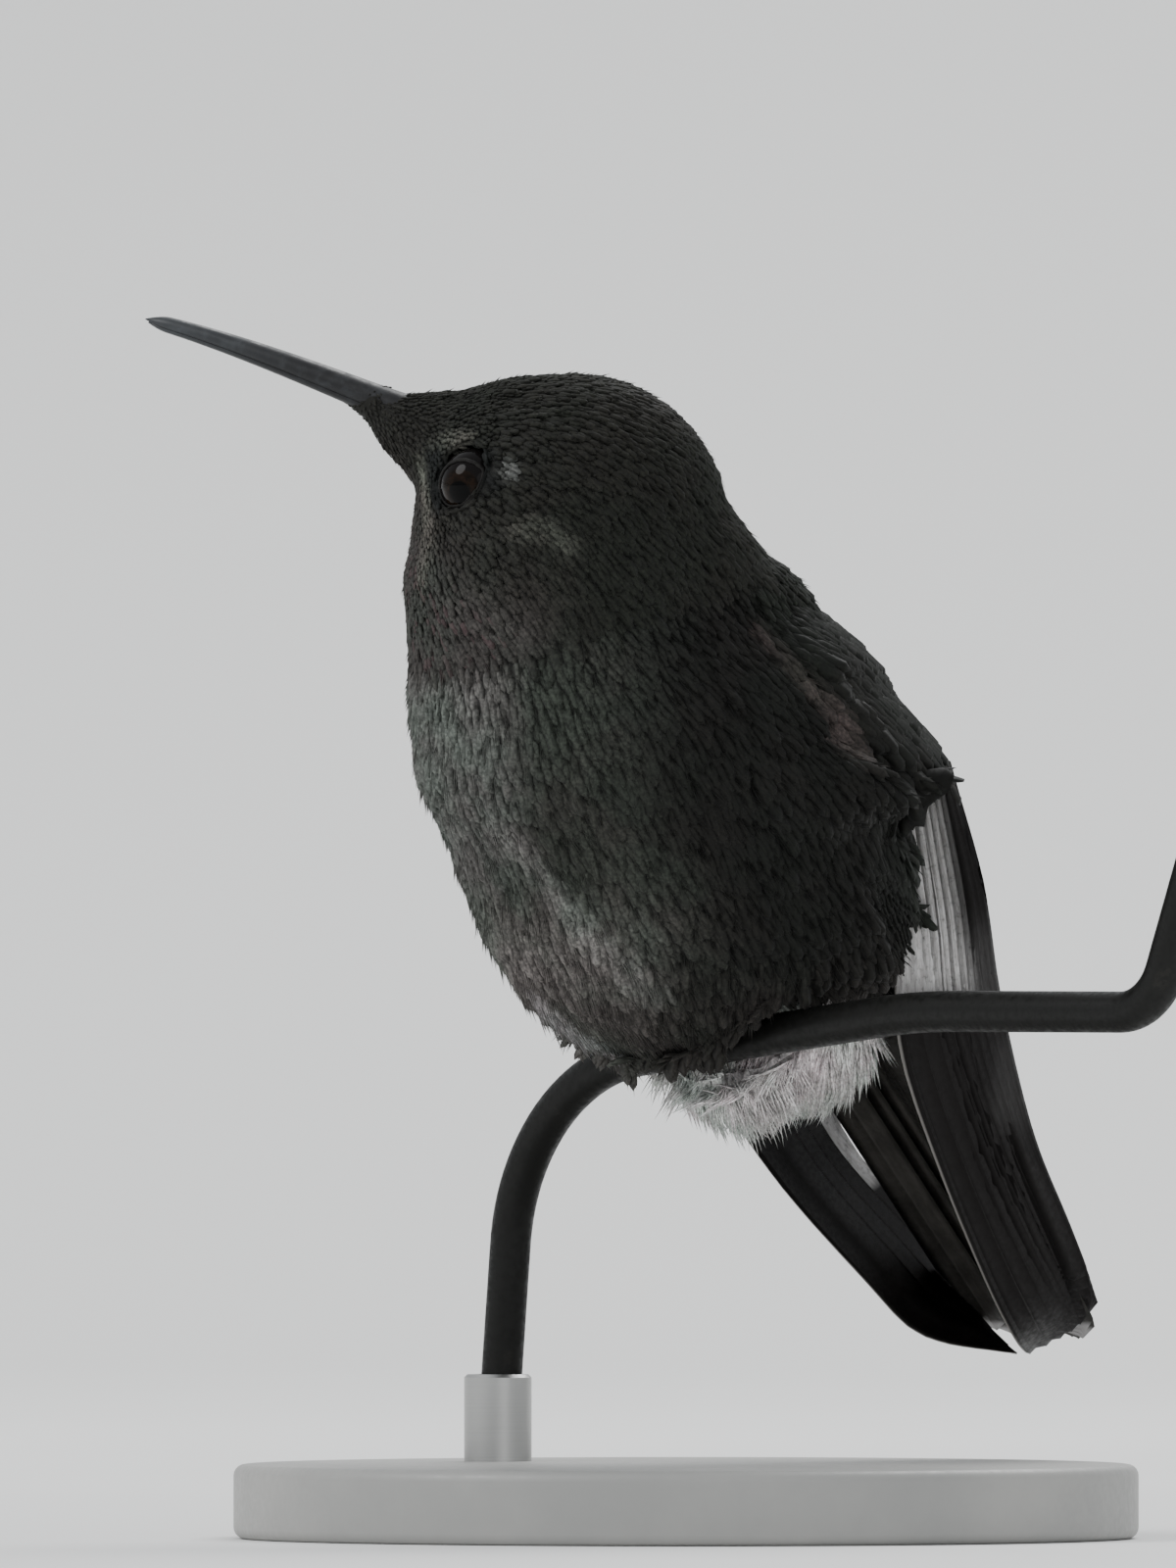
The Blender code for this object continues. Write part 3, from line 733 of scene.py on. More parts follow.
def coatTree():
    tree = bpy.data.node_groups.new("coat", "GeometryNodeTree")
    face = tree.interface
    face.new_socket("Geometry", in_out="OUTPUT", socket_type="NodeSocketGeometry")
    face.new_socket("Geometry", in_out="INPUT", socket_type="NodeSocketGeometry")
    for name, kind in (
        ("Feather", "Object"), ("Material", "Material"), ("Tract", "String"), ("Spacing", "Float"),
        ("Length", "Float"), ("Width", "Float"), ("Lift", "Float"), ("Stray", "Float"), ("Uneven", "Float"),
        ("Seed", "Int"),
    ):
        face.new_socket(name, in_out="INPUT", socket_type=f"NodeSocket{kind}")
    given = tree.nodes.new("NodeGroupInput").outputs

    def add(kind, values, out=0, **settings):
        made = tree.nodes.new(kind)
        for key, value in settings.items():
            setattr(made, key, value)
        for key, value in values.items():
            place = made.inputs[key]
            if isinstance(value, bpy.types.NodeSocket):
                tree.links.new(value, place)
            else:
                place.default_value = value
        return made.outputs[out]

    def named(name, kind="FLOAT"):
        return add("GeometryNodeInputNamedAttribute", {"Name": name}, "Attribute", data_type=kind)

    def sum3(operation, first, second):
        return add("ShaderNodeMath", {0: first, 1: second}, operation=operation)

    def chance(low, high, shift):
        seed = add("FunctionNodeIntegerMath", {0: given["Seed"], 1: shift}, operation="ADD")
        return add("FunctionNodeRandomValue", {2: low, 3: high, "Seed": seed}, 1, data_type="FLOAT")

    def turnedBy(rotation, axis, angle):
        by = add("FunctionNodeAxisAngleToRotation", {"Axis": axis, "Angle": angle})
        values = {"Rotation": rotation, "Rotate By": by}
        return add("FunctionNodeRotateRotation", values, rotation_space="LOCAL")

    most = sum3("DIVIDE", 3.0, sum3("MULTIPLY", given["Spacing"], given["Spacing"]))
    values = {
        "Mesh": given["Geometry"], "Distance Min": given["Spacing"], "Density Max": most,
        "Density Factor": named(given["Tract"]), "Seed": given["Seed"],
    }
    spots = add("GeometryNodeDistributePointsOnFaces", values, "Points", distribute_method="POISSON")
    normal = spots.node.outputs["Normal"]
    values = {"Geometry": spots, "Name": "pick", "Value": chance(0.0, 1.0, 11)}
    pick = add("GeometryNodeStoreNamedAttribute", values, data_type="FLOAT", domain="POINT")
    upright = add("FunctionNodeAlignRotationToVector", {"Vector": normal}, axis="Z")
    values = {"Rotation": upright, "Vector": named("lie", "FLOAT_VECTOR")}
    laid = add("FunctionNodeAlignRotationToVector", values, axis="Y", pivot_axis="Z")
    turned = turnedBy(laid, (0, 0, 1), sum3("MULTIPLY", given["Stray"], chance(-1.0, 1.0, 23)))
    raised = turnedBy(turned, (1, 0, 0), sum3("MULTIPLY", given["Lift"], chance(0.5, 1.6, 37)))
    size = chance(sum3("SUBTRACT", 1.0, given["Uneven"]), sum3("ADD", 1.0, given["Uneven"]), 53)
    grown = sum3("MULTIPLY", size, named("growth"))
    long = sum3("MULTIPLY", grown, given["Length"])
    wide = sum3("MULTIPLY", grown, given["Width"])
    feather = add("GeometryNodeObjectInfo", {"Object": given["Feather"]}, "Geometry")
    scale = add("ShaderNodeCombineXYZ", {0: wide, 1: long, 2: long})
    values = {"Points": pick, "Instance": feather, "Rotation": raised, "Scale": scale}
    placed = add("GeometryNodeInstanceOnPoints", values)
    real = add("GeometryNodeRealizeInstances", {"Geometry": placed})
    values = {0: named("leaf", "FLOAT_VECTOR"), 1: (rootPatch, rootPatch, 0)}
    patch = add("ShaderNodeVectorMath", values, operation="MULTIPLY")
    root = add("ShaderNodeVectorMath", {0: patch, 1: named("rootMap", "FLOAT_VECTOR")}, operation="ADD")
    values = {"Geometry": real, "Name": "OFBake", "Value": root}
    mapped = add("GeometryNodeStoreNamedAttribute", values, data_type="FLOAT2", domain="CORNER")
    finish = add("GeometryNodeSetMaterial", {"Geometry": mapped, "Material": given["Material"]})
    shade = add("GeometryNodeSetShadeSmooth", {"Geometry": finish})
    tree.links.new(shade, tree.nodes.new("NodeGroupOutput").inputs[0])
    return tree


# feather looks: one material for skin and vanes, and one for loose plumes

def coatFinish(name, tip, shaft, grain, sheen):
    made = Finish(name, Sheen_Weight=sheen, Sheen_Roughness=0.5, Specular_IOR_Level=0.18)
    tone = made.stored("tone", "Color")
    pick = made.stored("pick")
    across, along = made.split(made.stored("leaf", "Vector"))[:2]
    barbs = made.noise(grain, 2)
    fine = made.noise(5200, 2)
    level = 0.84 + 0.32 * pick
    level = level * (0.72 + 0.56 * made.spread(fine, 0.35, 0.65))
    level = level * (1.0 + tip * made.spread(along, 0.55, 1.0) - 0.18 * made.spread(along, 0.5, 0.0))
    middle = made.spread(across * across, 0.006, 0.0)
    level = level * (1.0 + shaft * middle)
    level = level * (0.82 + 0.36 * made.spread(barbs, 0.3, 0.7))
    blotch = made.noise(190, 3, 0.55)
    hue = made.mix(made.spread(blotch, 0.35, 0.65), (0.95, 1.03, 0.96), (1.06, 0.98, 0.98))
    colour = made.mix(1.0, made.scaled(tone, level), hue, "MULTIPLY")
    gorget = made.stored("gorget") * made.spread(pick, 0.84, 0.90)
    colour = made.mix(gorget * 0.35, colour, (0.070, 0.026, 0.034))
    made.set("Base Color", colour)
    made.set("Roughness", 0.62 + 0.25 * made.spread(fine, 0.3, 0.7))
    made.bump(barbs * 0.6 + fine * 0.4, 0.05 * mm, 0.5)
    return made.material


featherLook = {
    "vane": {"tip": 0.10, "shaft": 0.05, "grain": 2600, "sheen": 0.02},
    "plume": {"tip": 0.12, "shaft": 0.0, "grain": 1800, "sheen": 0.03},
}
tractNames = ("face", "hood", "breastLeft", "breastRight", "drape", "back", "rump", "coverts", "vent")
coatTracts = {
    # tract, shape, spacing, length, width (mm), lift and stray (degrees), unevenness, record slot
    "coat_face": ("face", "vane", 0.24, 0.75, 0.40, 7, 10, 0.20, "hood_feathers"),
    "coat_face_fuzz": ("face", "plume", 0.36, 0.70, 0.26, 13, 18, 0.30, "hood_feathers"),
    "coat_hood": ("hood", "vane", 0.32, 1.30, 0.66, 5, 10, 0.20, "hood_feathers"),
    "coat_hood_fuzz": ("hood", "plume", 0.42, 1.10, 0.40, 9, 18, 0.30, "hood_feathers"),
    "coat_breast_left": ("breastLeft", "vane", 0.40, 2.05, 0.95, 5, 12, 0.22, "belly_feathers"),
    "coat_breast_right": ("breastRight", "vane", 0.40, 2.05, 0.95, 5, 12, 0.22, "belly_feathers"),
    "coat_breast_fuzz_left": ("breastLeft", "plume", 0.46, 1.90, 0.62, 8, 18, 0.30, "belly_feathers"),
    "coat_breast_fuzz_right": ("breastRight", "plume", 0.46, 1.90, 0.62, 8, 18, 0.30, "belly_feathers"),
    "coat_drape": ("drape", "vane", 0.38, 1.90, 0.90, 5, 14, 0.25, "belly_feathers"),
    "coat_drape_fuzz": ("drape", "plume", 0.40, 2.20, 0.80, 8, 18, 0.30, "belly_feathers"),
    "coat_back": ("back", "vane", 0.44, 2.00, 1.05, 5, 9, 0.18, "rump_feathers"),
    "coat_rump": ("rump", "vane", 0.46, 2.20, 1.15, 5, 10, 0.18, "rump_feathers"),
    "coat_back_fuzz": ("back", "plume", 0.50, 1.70, 0.60, 8, 16, 0.30, "rump_feathers"),
    "coat_shoulders": ("coverts", "vane", 0.50, 2.30, 1.25, 4, 8, 0.20, "covert_feathers"),
    "coat_vent": ("vent", "plume", 0.36, 3.00, 1.00, 11, 18, 0.30, "undertail_feathers"),
}


def growCoat(skin):
    tree = coatTree()
    sockets = {item.name: item.identifier for item in tree.interface.items_tree if item.in_out == "INPUT"}
    shapes = {
        "vane": featherTemplate("vane_shape", vaneShape()),
        "plume": featherTemplate("plume_shape", plumeShape(4, 0.34, 0.040, 0.08)),
    }
    finishes = {kind: coatFinish(f"{kind}_feathers", **look) for kind, look in featherLook.items()}
    for number, (name, spec) in enumerate(coatTracts.items()):
        tract, shape, spacing, length, width, lift, stray, uneven, slot = spec
        piece = addObject(name, skin.data.copy())
        grow = piece.modifiers.new("grow", "NODES")
        grow.node_group = tree
        values = {
            "Feather": shapes[shape], "Material": finishes[shape], "Tract": tract, "Spacing": spacing * mm,
            "Length": length * mm, "Width": width * mm, "Lift": math.radians(lift),
            "Stray": math.radians(stray), "Uneven": uneven, "Seed": number * 101 + 7,
        }
        for key, value in values.items():
            grow[sockets[key]] = value
        finishMesh(piece)
        for extra in list(piece.data.attributes):
            if extra.name in ("lie", "growth", "rootMap", *tractNames):
                piece.data.attributes.remove(extra)
        riding(piece, slot)
        print(name, len(piece.data.polygons), "faces")
    for shape in shapes.values():
        bpy.data.objects.remove(shape)


bodyLine = ((-14, 8, 66), (-9.5, 0, 61), (-3, 0, 47), (6, 0, 35), (14, 0, 27))  # mm, bill to tail


def unwrapRound(mesh, places):
    # the skin laid out flat: round the body across, and from bill to tail along
    line = np.array([vec(*point) for point in bodyLine])
    steps = np.linalg.norm(np.diff(line, axis=0), axis=1)
    starts = np.concatenate([[0], np.cumsum(steps)])
    best = np.full(len(places), 1e9)
    along, turn = np.zeros((2, len(places)))
    for k in range(len(steps)):
        axis = (line[k + 1] - line[k]) / steps[k]
        t = (places - line[k]) @ axis
        held = np.clip(t, 0, steps[k])
        away = places - line[k] - held[:, None] * axis
        distance = np.linalg.norm(away, axis=1)
        nearer = distance < best
        side = np.array((0.0, 1.0, 0.0)) - axis * axis[1]
        side /= np.linalg.norm(side)
        other = np.cross(axis, side)
        reachAlong = starts[k] + (t if k in (0, len(steps) - 1) else held)
        along = np.where(nearer, reachAlong, along)
        turn = np.where(nearer, np.arctan2(away @ other, away @ side), turn)
        best = np.where(nearer, distance, best)
    corners = readArray(mesh.loops, "vertex_index", 1, np.int32)
    u = (turn / (2 * math.pi) + 0.5)[corners]
    v = along[corners]
    # a face that crosses the seam keeps all its corners on one side
    sizes = readArray(mesh.polygons, "loop_total", 1, np.int32)
    owner = np.repeat(np.arange(len(sizes)), sizes)
    highest = np.zeros(len(sizes))
    np.maximum.at(highest, owner, u)
    u = np.where(highest[owner] - u > 0.5, u + 1, u)
    v = (v - v.min()) / (v.max() - v.min())
    flat = np.stack([0.02 + 0.9 * u, 0.02 + 0.95 * v], 1)
    mesh.uv_layers.new(name="OFBake").data.foreach_set("uv", flat.astype(np.float32).ravel())
    store(mesh, "rootMap", np.concatenate([flat, np.zeros((len(flat), 1))], 1), "FLOAT_VECTOR", "CORNER")


# the body's own shape: each row holds an amount and the spans of height and so on that fade it in, in mm

flankFill = (
    (1.0, ("high", 41.5, 36.5), ("high", 28.5, 31.0), ("sideways", 8.0, 11.0), ("wide", 5.0, 7.0)),
    (1.9, ("high", 43.5, 46.5), ("high", 50.0, 48.0), ("sideways", 7.5, 10.5), ("x", 9.5, 7.5)),
)
swells = (
    (1.15, ("high", 55.8, 60.5), ("high", 65.5, 61.5), ("sideways", 0.5, 3.5)),  # nape
    (-0.5, ("high", 55.5, 52.5), ("high", 46.5, 49.0), ("sideways", 8.0, 11.0)),  # mantle
    (-0.45, ("high", 46.5, 42.5), ("high", 36.0, 40.0), ("ahead", 9.0, 12.0)),  # lower breast
    (0.5, ("high", 36.5, 32.0), ("high", 27.5, 31.0), ("ahead", 4.5, 7.5)),  # low belly
)
flankSwell = (0.9, ("high", 37.5, 35.0), ("high", 31.0, 33.5), ("sideways", 8.5, 11.5))
growths = (
    # tracts first; the amount is a share of the feather's size
    (("hood",), -0.25, ("forward", 2.0, 6.0)),
    (("face",), -0.6, ("forward", 10.0, 15.5)),
    (("coverts",), 0.4, ("x", 0.0, 12.0)),
    (("breast", "back"), -0.35, ("hoodGap", -6.0, -0.5)),
    (("hood",), 0.20, ("hoodGap", 5.0, 0.5)),
    (("drape", "breast"), 0.30, ("high", 38.0, 34.5), ("x", 4.0, 7.0)),
    (("vent",), -0.45, ("behind", 1.5, 7.0)),
    (("coverts",), -0.75, ("high", 50.5, 47.5), ("x", 5.0, 8.0)),
    (("breast",), -0.6, ("sideways", 10.5, 12.5), ("high", 31.5, 33.5), ("high", 42.0, 40.5)),
)
tractDepths = {
    "hood": "hoodDepth", "face": "faceDepth", "back": "backDepth", "rump": "backDepth",
    "coverts": "backDepth", "vent": "ventDepth",
}


def faded(fields, amount, *spans):
    for name, low, high in spans:
        amount = amount * smooth(low, high, fields[name])
    return amount


def endCoverts(spot, masks):
    # coverts end along a level line, and the flank fills out over the wing's front edge
    side = np.sign(spot[:, 1])
    backEnd = masks["coverts"] * smooth(6.0, 8.5, spot[:, 0])
    flankEnd = masks["coverts"] * smooth(47.8, 46.9, spot[:, 2]) * smooth(9.0, 7.0, spot[:, 0])
    for name, here in (("breastLeft", spot[:, 1] < 0), ("breastRight", spot[:, 1] >= 0)):
        masks[name] = masks[name] + flankEnd * here * smooth(7.0, 5.5, spot[:, 0])
        masks[name] = masks[name] * (1 - smooth(7.0, 8.5, spot[:, 0]) * smooth(43.5, 45.0, spot[:, 2]))
    masks["breast"] = masks["breast"] + flankEnd
    masks["coverts"] = masks["coverts"] - flankEnd
    over = np.maximum(0, 46.9 - spot[:, 2]) * backEnd * 1.35
    spot = spot - over[:, None] * mirrored(side, 0.742, 0.096, -0.670)
    inwards = 4.0 * (masks["coverts"] + flankEnd)
    inwards = inwards * smooth(49.5, 43.5, spot[:, 2]) * smooth(9.5, 6.0, spot[:, 0])
    spot[:, 1] -= side * inwards
    return spot


def fillOut(mesh, spot, side, wide, masks):
    # fuller flanks, vent, nape and low belly; a flatter mantle and lower breast
    fields = {"x": spot[:, 0], "high": spot[:, 2], "wide": wide, "sideways": 0.7071 * (spot[:, 0] + wide)}
    fill = sum(faded(fields, *row) for row in flankFill)
    fill = blurred(mesh, 1.5 * fill * (1 - masks["coverts"]) * (1 - masks["vent"]), 6)
    spot = spot + fill[:, None] * mirrored(side, 0.707, 0.707, 0)
    raised = 1.9 * masks["vent"] * smooth(4.0, 7.5, spot[:, 0]) * smooth(32.0, 29.0, spot[:, 2])
    spot[:, 2] += blurred(mesh, raised, 6)
    fields["high"] = spot[:, 2].copy()
    fields["ahead"] = 0.7071 * (wide - spot[:, 0])
    swell = sum(faded(fields, *row) for row in swells)
    swell = swell + faded(fields, *flankSwell) * (1 - masks["vent"])
    aside = np.stack([spot[:, 0] + 3.0, spot[:, 1]], 1)
    spot[:, :2] += blurred(mesh, swell, 12)[:, None] * aside / np.linalg.norm(aside, axis=1)[:, None]
    return spot, fields


def growthOf(spot, fields, masks):
    growth = 1.0 + 0.35 * nearLine(spot, wispLine, 2.2)
    for tracts, *row in growths:
        growth = growth + sum(masks[name] for name in tracts) * faded(fields, *row)
    return growth


def sinkUnder(mesh, places, normals, hoodGap, masks):
    # the skin goes down so that the feathers' tops come out at the body's true size
    depth = skinLook["bridge"] + skinLook["bodyDepth"] * np.ones(len(places))
    for name, key in tractDepths.items():
        depth = depth * (1 - masks[name]) + masks[name] * (skinLook["bridge"] + skinLook[key])
    depth -= skinLook["rimRise"] * (masks["breast"] + masks["back"]) * smooth(-5.0, -1.0, hoodGap) * mm
    movePoints(mesh, places - normals * blurred(mesh, depth, 4)[:, None])


def buildBody():
    skin = makeSkin()
    mesh = skin.data
    spot, head, masks = regionMasks(mesh)
    side, wide = np.sign(spot[:, 1]), np.abs(spot[:, 1])
    spot = endCoverts(spot, masks)
    spot, fields = fillOut(mesh, spot, side, wide, masks)
    x, y, z = spot.T
    places = spot * mm
    movePoints(mesh, places)
    normals = readArray(mesh.vertex_normals, "vector", 3).astype(float)
    masks["coverts"] = masks["coverts"] * (1 - smooth(7.0, 8.5, x) * smooth(48.0, 47.3, z))
    paint(mesh, spot, head, masks)
    setLie(mesh, places, head, normals, masks)
    for name in tractNames:
        store(mesh, name, np.clip(masks[name], 0, 1))
    fields.update(x=x, forward=head[:, 0], hoodGap=aboveHood(spot), behind=0.7071 * (x - np.abs(y)))
    store(mesh, "growth", growthOf(spot, fields, masks))
    sinkUnder(mesh, places, normals, fields["hoodGap"], masks)
    unwrapRound(mesh, places)
    return skin


skin = buildBody()
print("skin", len(skin.data.polygons), "faces")
growCoat(skin)
skinFinish = coatFinish("skin_down", 0.0, 0.0, 2200, 0.02)
skin.data.materials.clear()
skin.data.materials.append(skinFinish)
riding(skin, "belly_feathers", *fleshNodes)


# bill: two mandibles that meet along a fine line, with the base hidden in the face feathers

bill = {
    "hidden": 3.0 * mm,
    "length": 16.0 * mm,
    "depth": 1.8 * mm,
    "tipDepth": 0.8 * mm,
    "droop": 0.7 * mm,
    "split": 0.05 * mm,
    "upperShare": 0.58,
    "stations": 60,
    "sides": 14,
}


def billFinish():
    made = Finish("bill_horn", Coat_Weight=0.05, Coat_Roughness=0.3, Specular_IOR_Level=0.25)
    grain = made.noise(900, 4, warp=0.4)
    fine = made.noise(4200, 2, 0.5)
    # paler and bluer towards the tip: a painted highlight along the bill, with uneven grain
    lighterShare = made.spread(made.stored("along"), 0.2, 1.0) * 0.5 + made.spread(grain, 0.45, 0.75) * 0.35
    rough = 0.34 + 0.25 * made.spread(grain, 0.3, 0.7)
    height = grain * 0.7 + fine * 0.3
    return made.done(lighterShare, (0.012, 0.012, 0.013), (0.060, 0.066, 0.072), rough, height, 0.04 * mm, 0.6)


def mandible(upper):
    n, sides = bill["stations"], bill["sides"]
    edge = 1 if upper else -1
    points, share = [], []
    for i in range(n):
        along = -bill["hidden"] + (bill["length"] + bill["hidden"]) * i / (n - 1) * (1 if upper else 0.985)
        t = max(0.0, along / bill["length"])
        depth = bill["tipDepth"] + (bill["depth"] - bill["tipDepth"]) * (1 - t) ** 0.9
        depth += 0.25 * mm * max(0.0, -along / bill["hidden"])
        if t > 0.9:
            depth *= max(0.10, 1 - 0.9 * ((t - 0.9) / 0.1) ** 1.8)
        lift = bird["billLift"] - bill["droop"] * t**3
        tall = depth * (bill["upperShare"] if upper else 1 - bill["upperShare"])
        for k in range(sides + 1):
            turn = math.pi * k / sides
            rise = edge * (bill["split"] / 2 + math.sin(turn) ** 0.85 * tall)
            points.append(inHead(bird["billStart"] + along, lift + rise, math.cos(turn) * depth * 0.55))
        groove = edge * (bill["split"] / 2 + 0.06 * mm * (1 - t))
        points.append(inHead(bird["billStart"] + along, lift + groove, 0))
        share += [t] * (sides + 2)
    ring = sides + 2
    faces = ringFaces(ring, n, caps=False)
    faces += [tuple(range(ring)), tuple(range((n - 1) * ring, n * ring))]
    return points, faces, share


def buildBill():
    horn = billFinish()
    for upper, word in ((True, "upper"), (False, "lower")):
        points, faces, share = mandible(upper)
        mesh = joined(f"mandible_{word}", [(points, faces)])
        store(mesh, "along", share)
        riding(addObject(f"mandible_{word}", mesh, horn), "bill_horn", f"bill_{word}")


buildBill()
print("bill")


# eyes: a dark brown iris round a black pupil under a clear wet surface, inside a ring of bare lid

eye = {
    "iris": 0.62,  # radians from the eye's axis
    "pupil": 0.34,
    "lidWidth": 0.14 * mm,
    "lidPoints": 72,
    "lidSides": 10,
    "lidFrom": 14,  # degrees from the eye's axis where the search for the skin's edge begins
    "lidStep": 1.2,
    "lidTries": 60,
    "lidReach": 3 * mm,
}


def eyeFinish():
    made = Finish("eye_wet", Roughness=0.07, Coat_Weight=0.03, Coat_Roughness=0.02, Specular_IOR_Level=0.07)
    turn = made.stored("fromAxis")
    streaks = made.noise(2600, 3)
    brown = made.mix(made.spread(streaks, 0.35, 0.7), (0.005, 0.0032, 0.0022), (0.014, 0.008, 0.005))
    pupil = made.spread(turn, eye["pupil"] - 0.03, eye["pupil"] + 0.03)
    inner = made.mix(pupil, (0.001, 0.001, 0.001), brown)
    rim = made.spread(turn, eye["iris"], eye["iris"] + 0.1)
    made.set("Base Color", made.mix(rim, inner, (0.006, 0.005, 0.005)))
    return made.material


def lidFinish():
    made = Finish("eyelid_skin", Specular_IOR_Level=0.12)
    folds = made.noise(3800, 3)
    tint, rough = made.spread(folds, 0.3, 0.7), 0.45 + 0.3 * folds
    return made.done(tint, (0.007, 0.0065, 0.006), (0.016, 0.015, 0.014), rough, folds, 0.05 * mm, 0.7)


def lidPath(surface, centre, out, across, other):
    # a smoothed ring on the eye, along the edge of the skin
    turns = [2 * math.pi * k / eye["lidPoints"] for k in range(eye["lidPoints"])]

    def aimed(opening, turn):
        sideways = across * math.cos(turn) + other * math.sin(turn)
        return out * math.cos(opening) + sideways * math.sin(opening)

    ring = []
    for turn in turns:
        for step in range(eye["lidTries"]):
            opening = math.radians(eye["lidFrom"] + eye["lidStep"] * step)
            aim = aimed(opening, turn)
            found = surface.ray_cast(centre + aim * bird["eyeRadius"] * 0.99, aim)
            if found[0] is not None and found[3] < eye["lidReach"]:
                break
        ring.append(opening)
    ring = np.array(ring)
    for _ in range(6):
        ring = 0.5 * ring + 0.25 * np.roll(ring, 1) + 0.25 * np.roll(ring, -1)
    ring = np.minimum(ring, np.median(ring) + 0.12)
    return [centre + aimed(opening, turn) * (bird["eyeRadius"] * 0.985) for opening, turn in zip(ring, turns)]


def lidRing(path, centre):
    points = []
    sides = eye["lidSides"]
    for k, at in enumerate(path):
        away = (at - centre).normalized()
        along = (path[(k + 1) % len(path)] - path[k - 1]).normalized()
        wide = away.cross(along).normalized()
        for q in range(sides):
            turn = 2 * math.pi * q / sides
            crinkle = 1 + 0.12 * math.sin(k * 1.7) * math.cos(turn)
            shift = away * math.sin(turn) * 0.6 + wide * math.cos(turn)
            points.append(at + shift * eye["lidWidth"] * crinkle)
    walls = ringFaces(sides, len(path) + 1, caps=False)
    return points, [tuple(k % len(points) for k in wall) for wall in walls]


def buildEyes():
    wet, lidSkin = eyeFinish(), lidFinish()
    bm = bmesh.new()
    bm.from_mesh(skin.data)
    surface = BVHTree.FromBMesh(bm)
    bm.free()
    for side, word in ((1, "left"), (-1, "right")):
        centre = inHead(bird["eyePlace"].x, bird["eyePlace"].y, bird["eyePlace"].z * side)
        out = headAxes @ Vector((0.10, 0.06, side)).normalized()
        across = out.orthogonal().normalized()
        other = out.cross(across)
        ball = bmesh.new()
        bmesh.ops.create_uvsphere(ball, u_segments=48, v_segments=32, radius=bird["eyeRadius"] * 0.97)
        ball.transform(Matrix.Translation(centre) @ Matrix((across, other, out)).transposed().to_4x4())
        mesh = meshFromBmesh(f"eyeball_{word}", ball)
        facingOut(mesh)
        away = unit(pointsOf(mesh) - np.array(centre))
        store(mesh, "fromAxis", np.arccos(np.clip(away @ np.array(out), -1, 1)))
        riding(addObject(f"eyeball_{word}", mesh, wet), "eye", f"eye_{word}")
        path = lidPath(surface, centre, out, across, other)
        lid = joined(f"eyelid_{word}", [lidRing(path, centre)])
        riding(addObject(f"eyelid_{word}", lid, lidSkin), "hood_feathers")


buildEyes()
print("eyes")


# flight feathers: every vane is its own closed blade with a raised shaft, stacked like a closed fan

wing = {
    # points in mm on the right wing; the left wing is its mirror
    "leading": (
        (8.6, 7.8, 48.4), (10.6, 7.6, 38.0), (9.9, 8.9, 30.4), (14.4, 7.8, 23.0), (21.0, 5.5, 15.7),
        (25.0, 4.1, 12.1), (29.8, 0.5, 10.9),
    ),
    "trailing": (
        (13.2, 9.4, 48.0), (16.4, 9.4, 40.6), (18.4, 9.0, 33.4), (21.9, 8.3, 25.2), (26.6, 6.8, 19.6),
        (29.0, 6.1, 16.6), (31.3, 5.5, 13.4),
    ),
    "inner": ((15.2, 3.4, 49.2), (17.6, 3.8, 40.6), (19.6, 4.6, 33.4), (21.3, 7.9, 25.4)),
    "rows": 25,
    "innerRows": 14,
    "columns": 8,
    "primaries": 10,
    "secondaries": 6,
    "stations": 44,
    "vaneHalf": 0.035 * mm,
}
tail = {
    "pairs": 5,
    # which pairs, counted from the middle, and on which sides
    "groups": {"centre": ((0, 1), (1, -1)), "left": ((2, 3, 4), (-1,)), "right": ((2, 3, 4), (1,))},
    "length": 35.2 * mm,
    "rootHalf": 3.9 * mm,
    "tipHalf": 5.6 * mm,
    "rounding": 1.8 * mm,
    "vaneHalf": 2.2 * mm,
    "thickHalf": 0.04 * mm,
    "stations": 40,
}
shaftHalf = 0.12 * mm
flightLook = {
    # the vane, its shaft, the pale tips, and the face that looks up or outwards
    "base": (0.0065, 0.0055, 0.0053),
    "ridge": (0.024, 0.021, 0.020),
    "tips": (0.3, 0.3, 0.3),
    "upper": (0.0075, 0.0062, 0.0060),
}
tailLook = {
    "base": (0.050, 0.047, 0.043),
    "ridge": (0.085, 0.081, 0.076),
    "tips": (0.36, 0.35, 0.35),
    "upper": (0.012, 0.015, 0.011),
}
glint = ((20.6, 8.5, 26.8), (22.4, 8.1, 24.3), (23.9, 7.7, 22.3))


def surfaceAt(grid, s, t):
    # grid is rows of points from root to tip, each row from front edge to back edge
    i = min(max(s, 0), 0.9999) * (len(grid) - 1)
    j = min(max(t, 0), 0.9999) * (len(grid[0]) - 1)
    a, b = int(i), int(j)
    u, v = i - a, j - b
    low = grid[a][b].lerp(grid[a][b + 1], v)
    high = grid[a + 1][b].lerp(grid[a + 1][b + 1], v)
    return low.lerp(high, u)


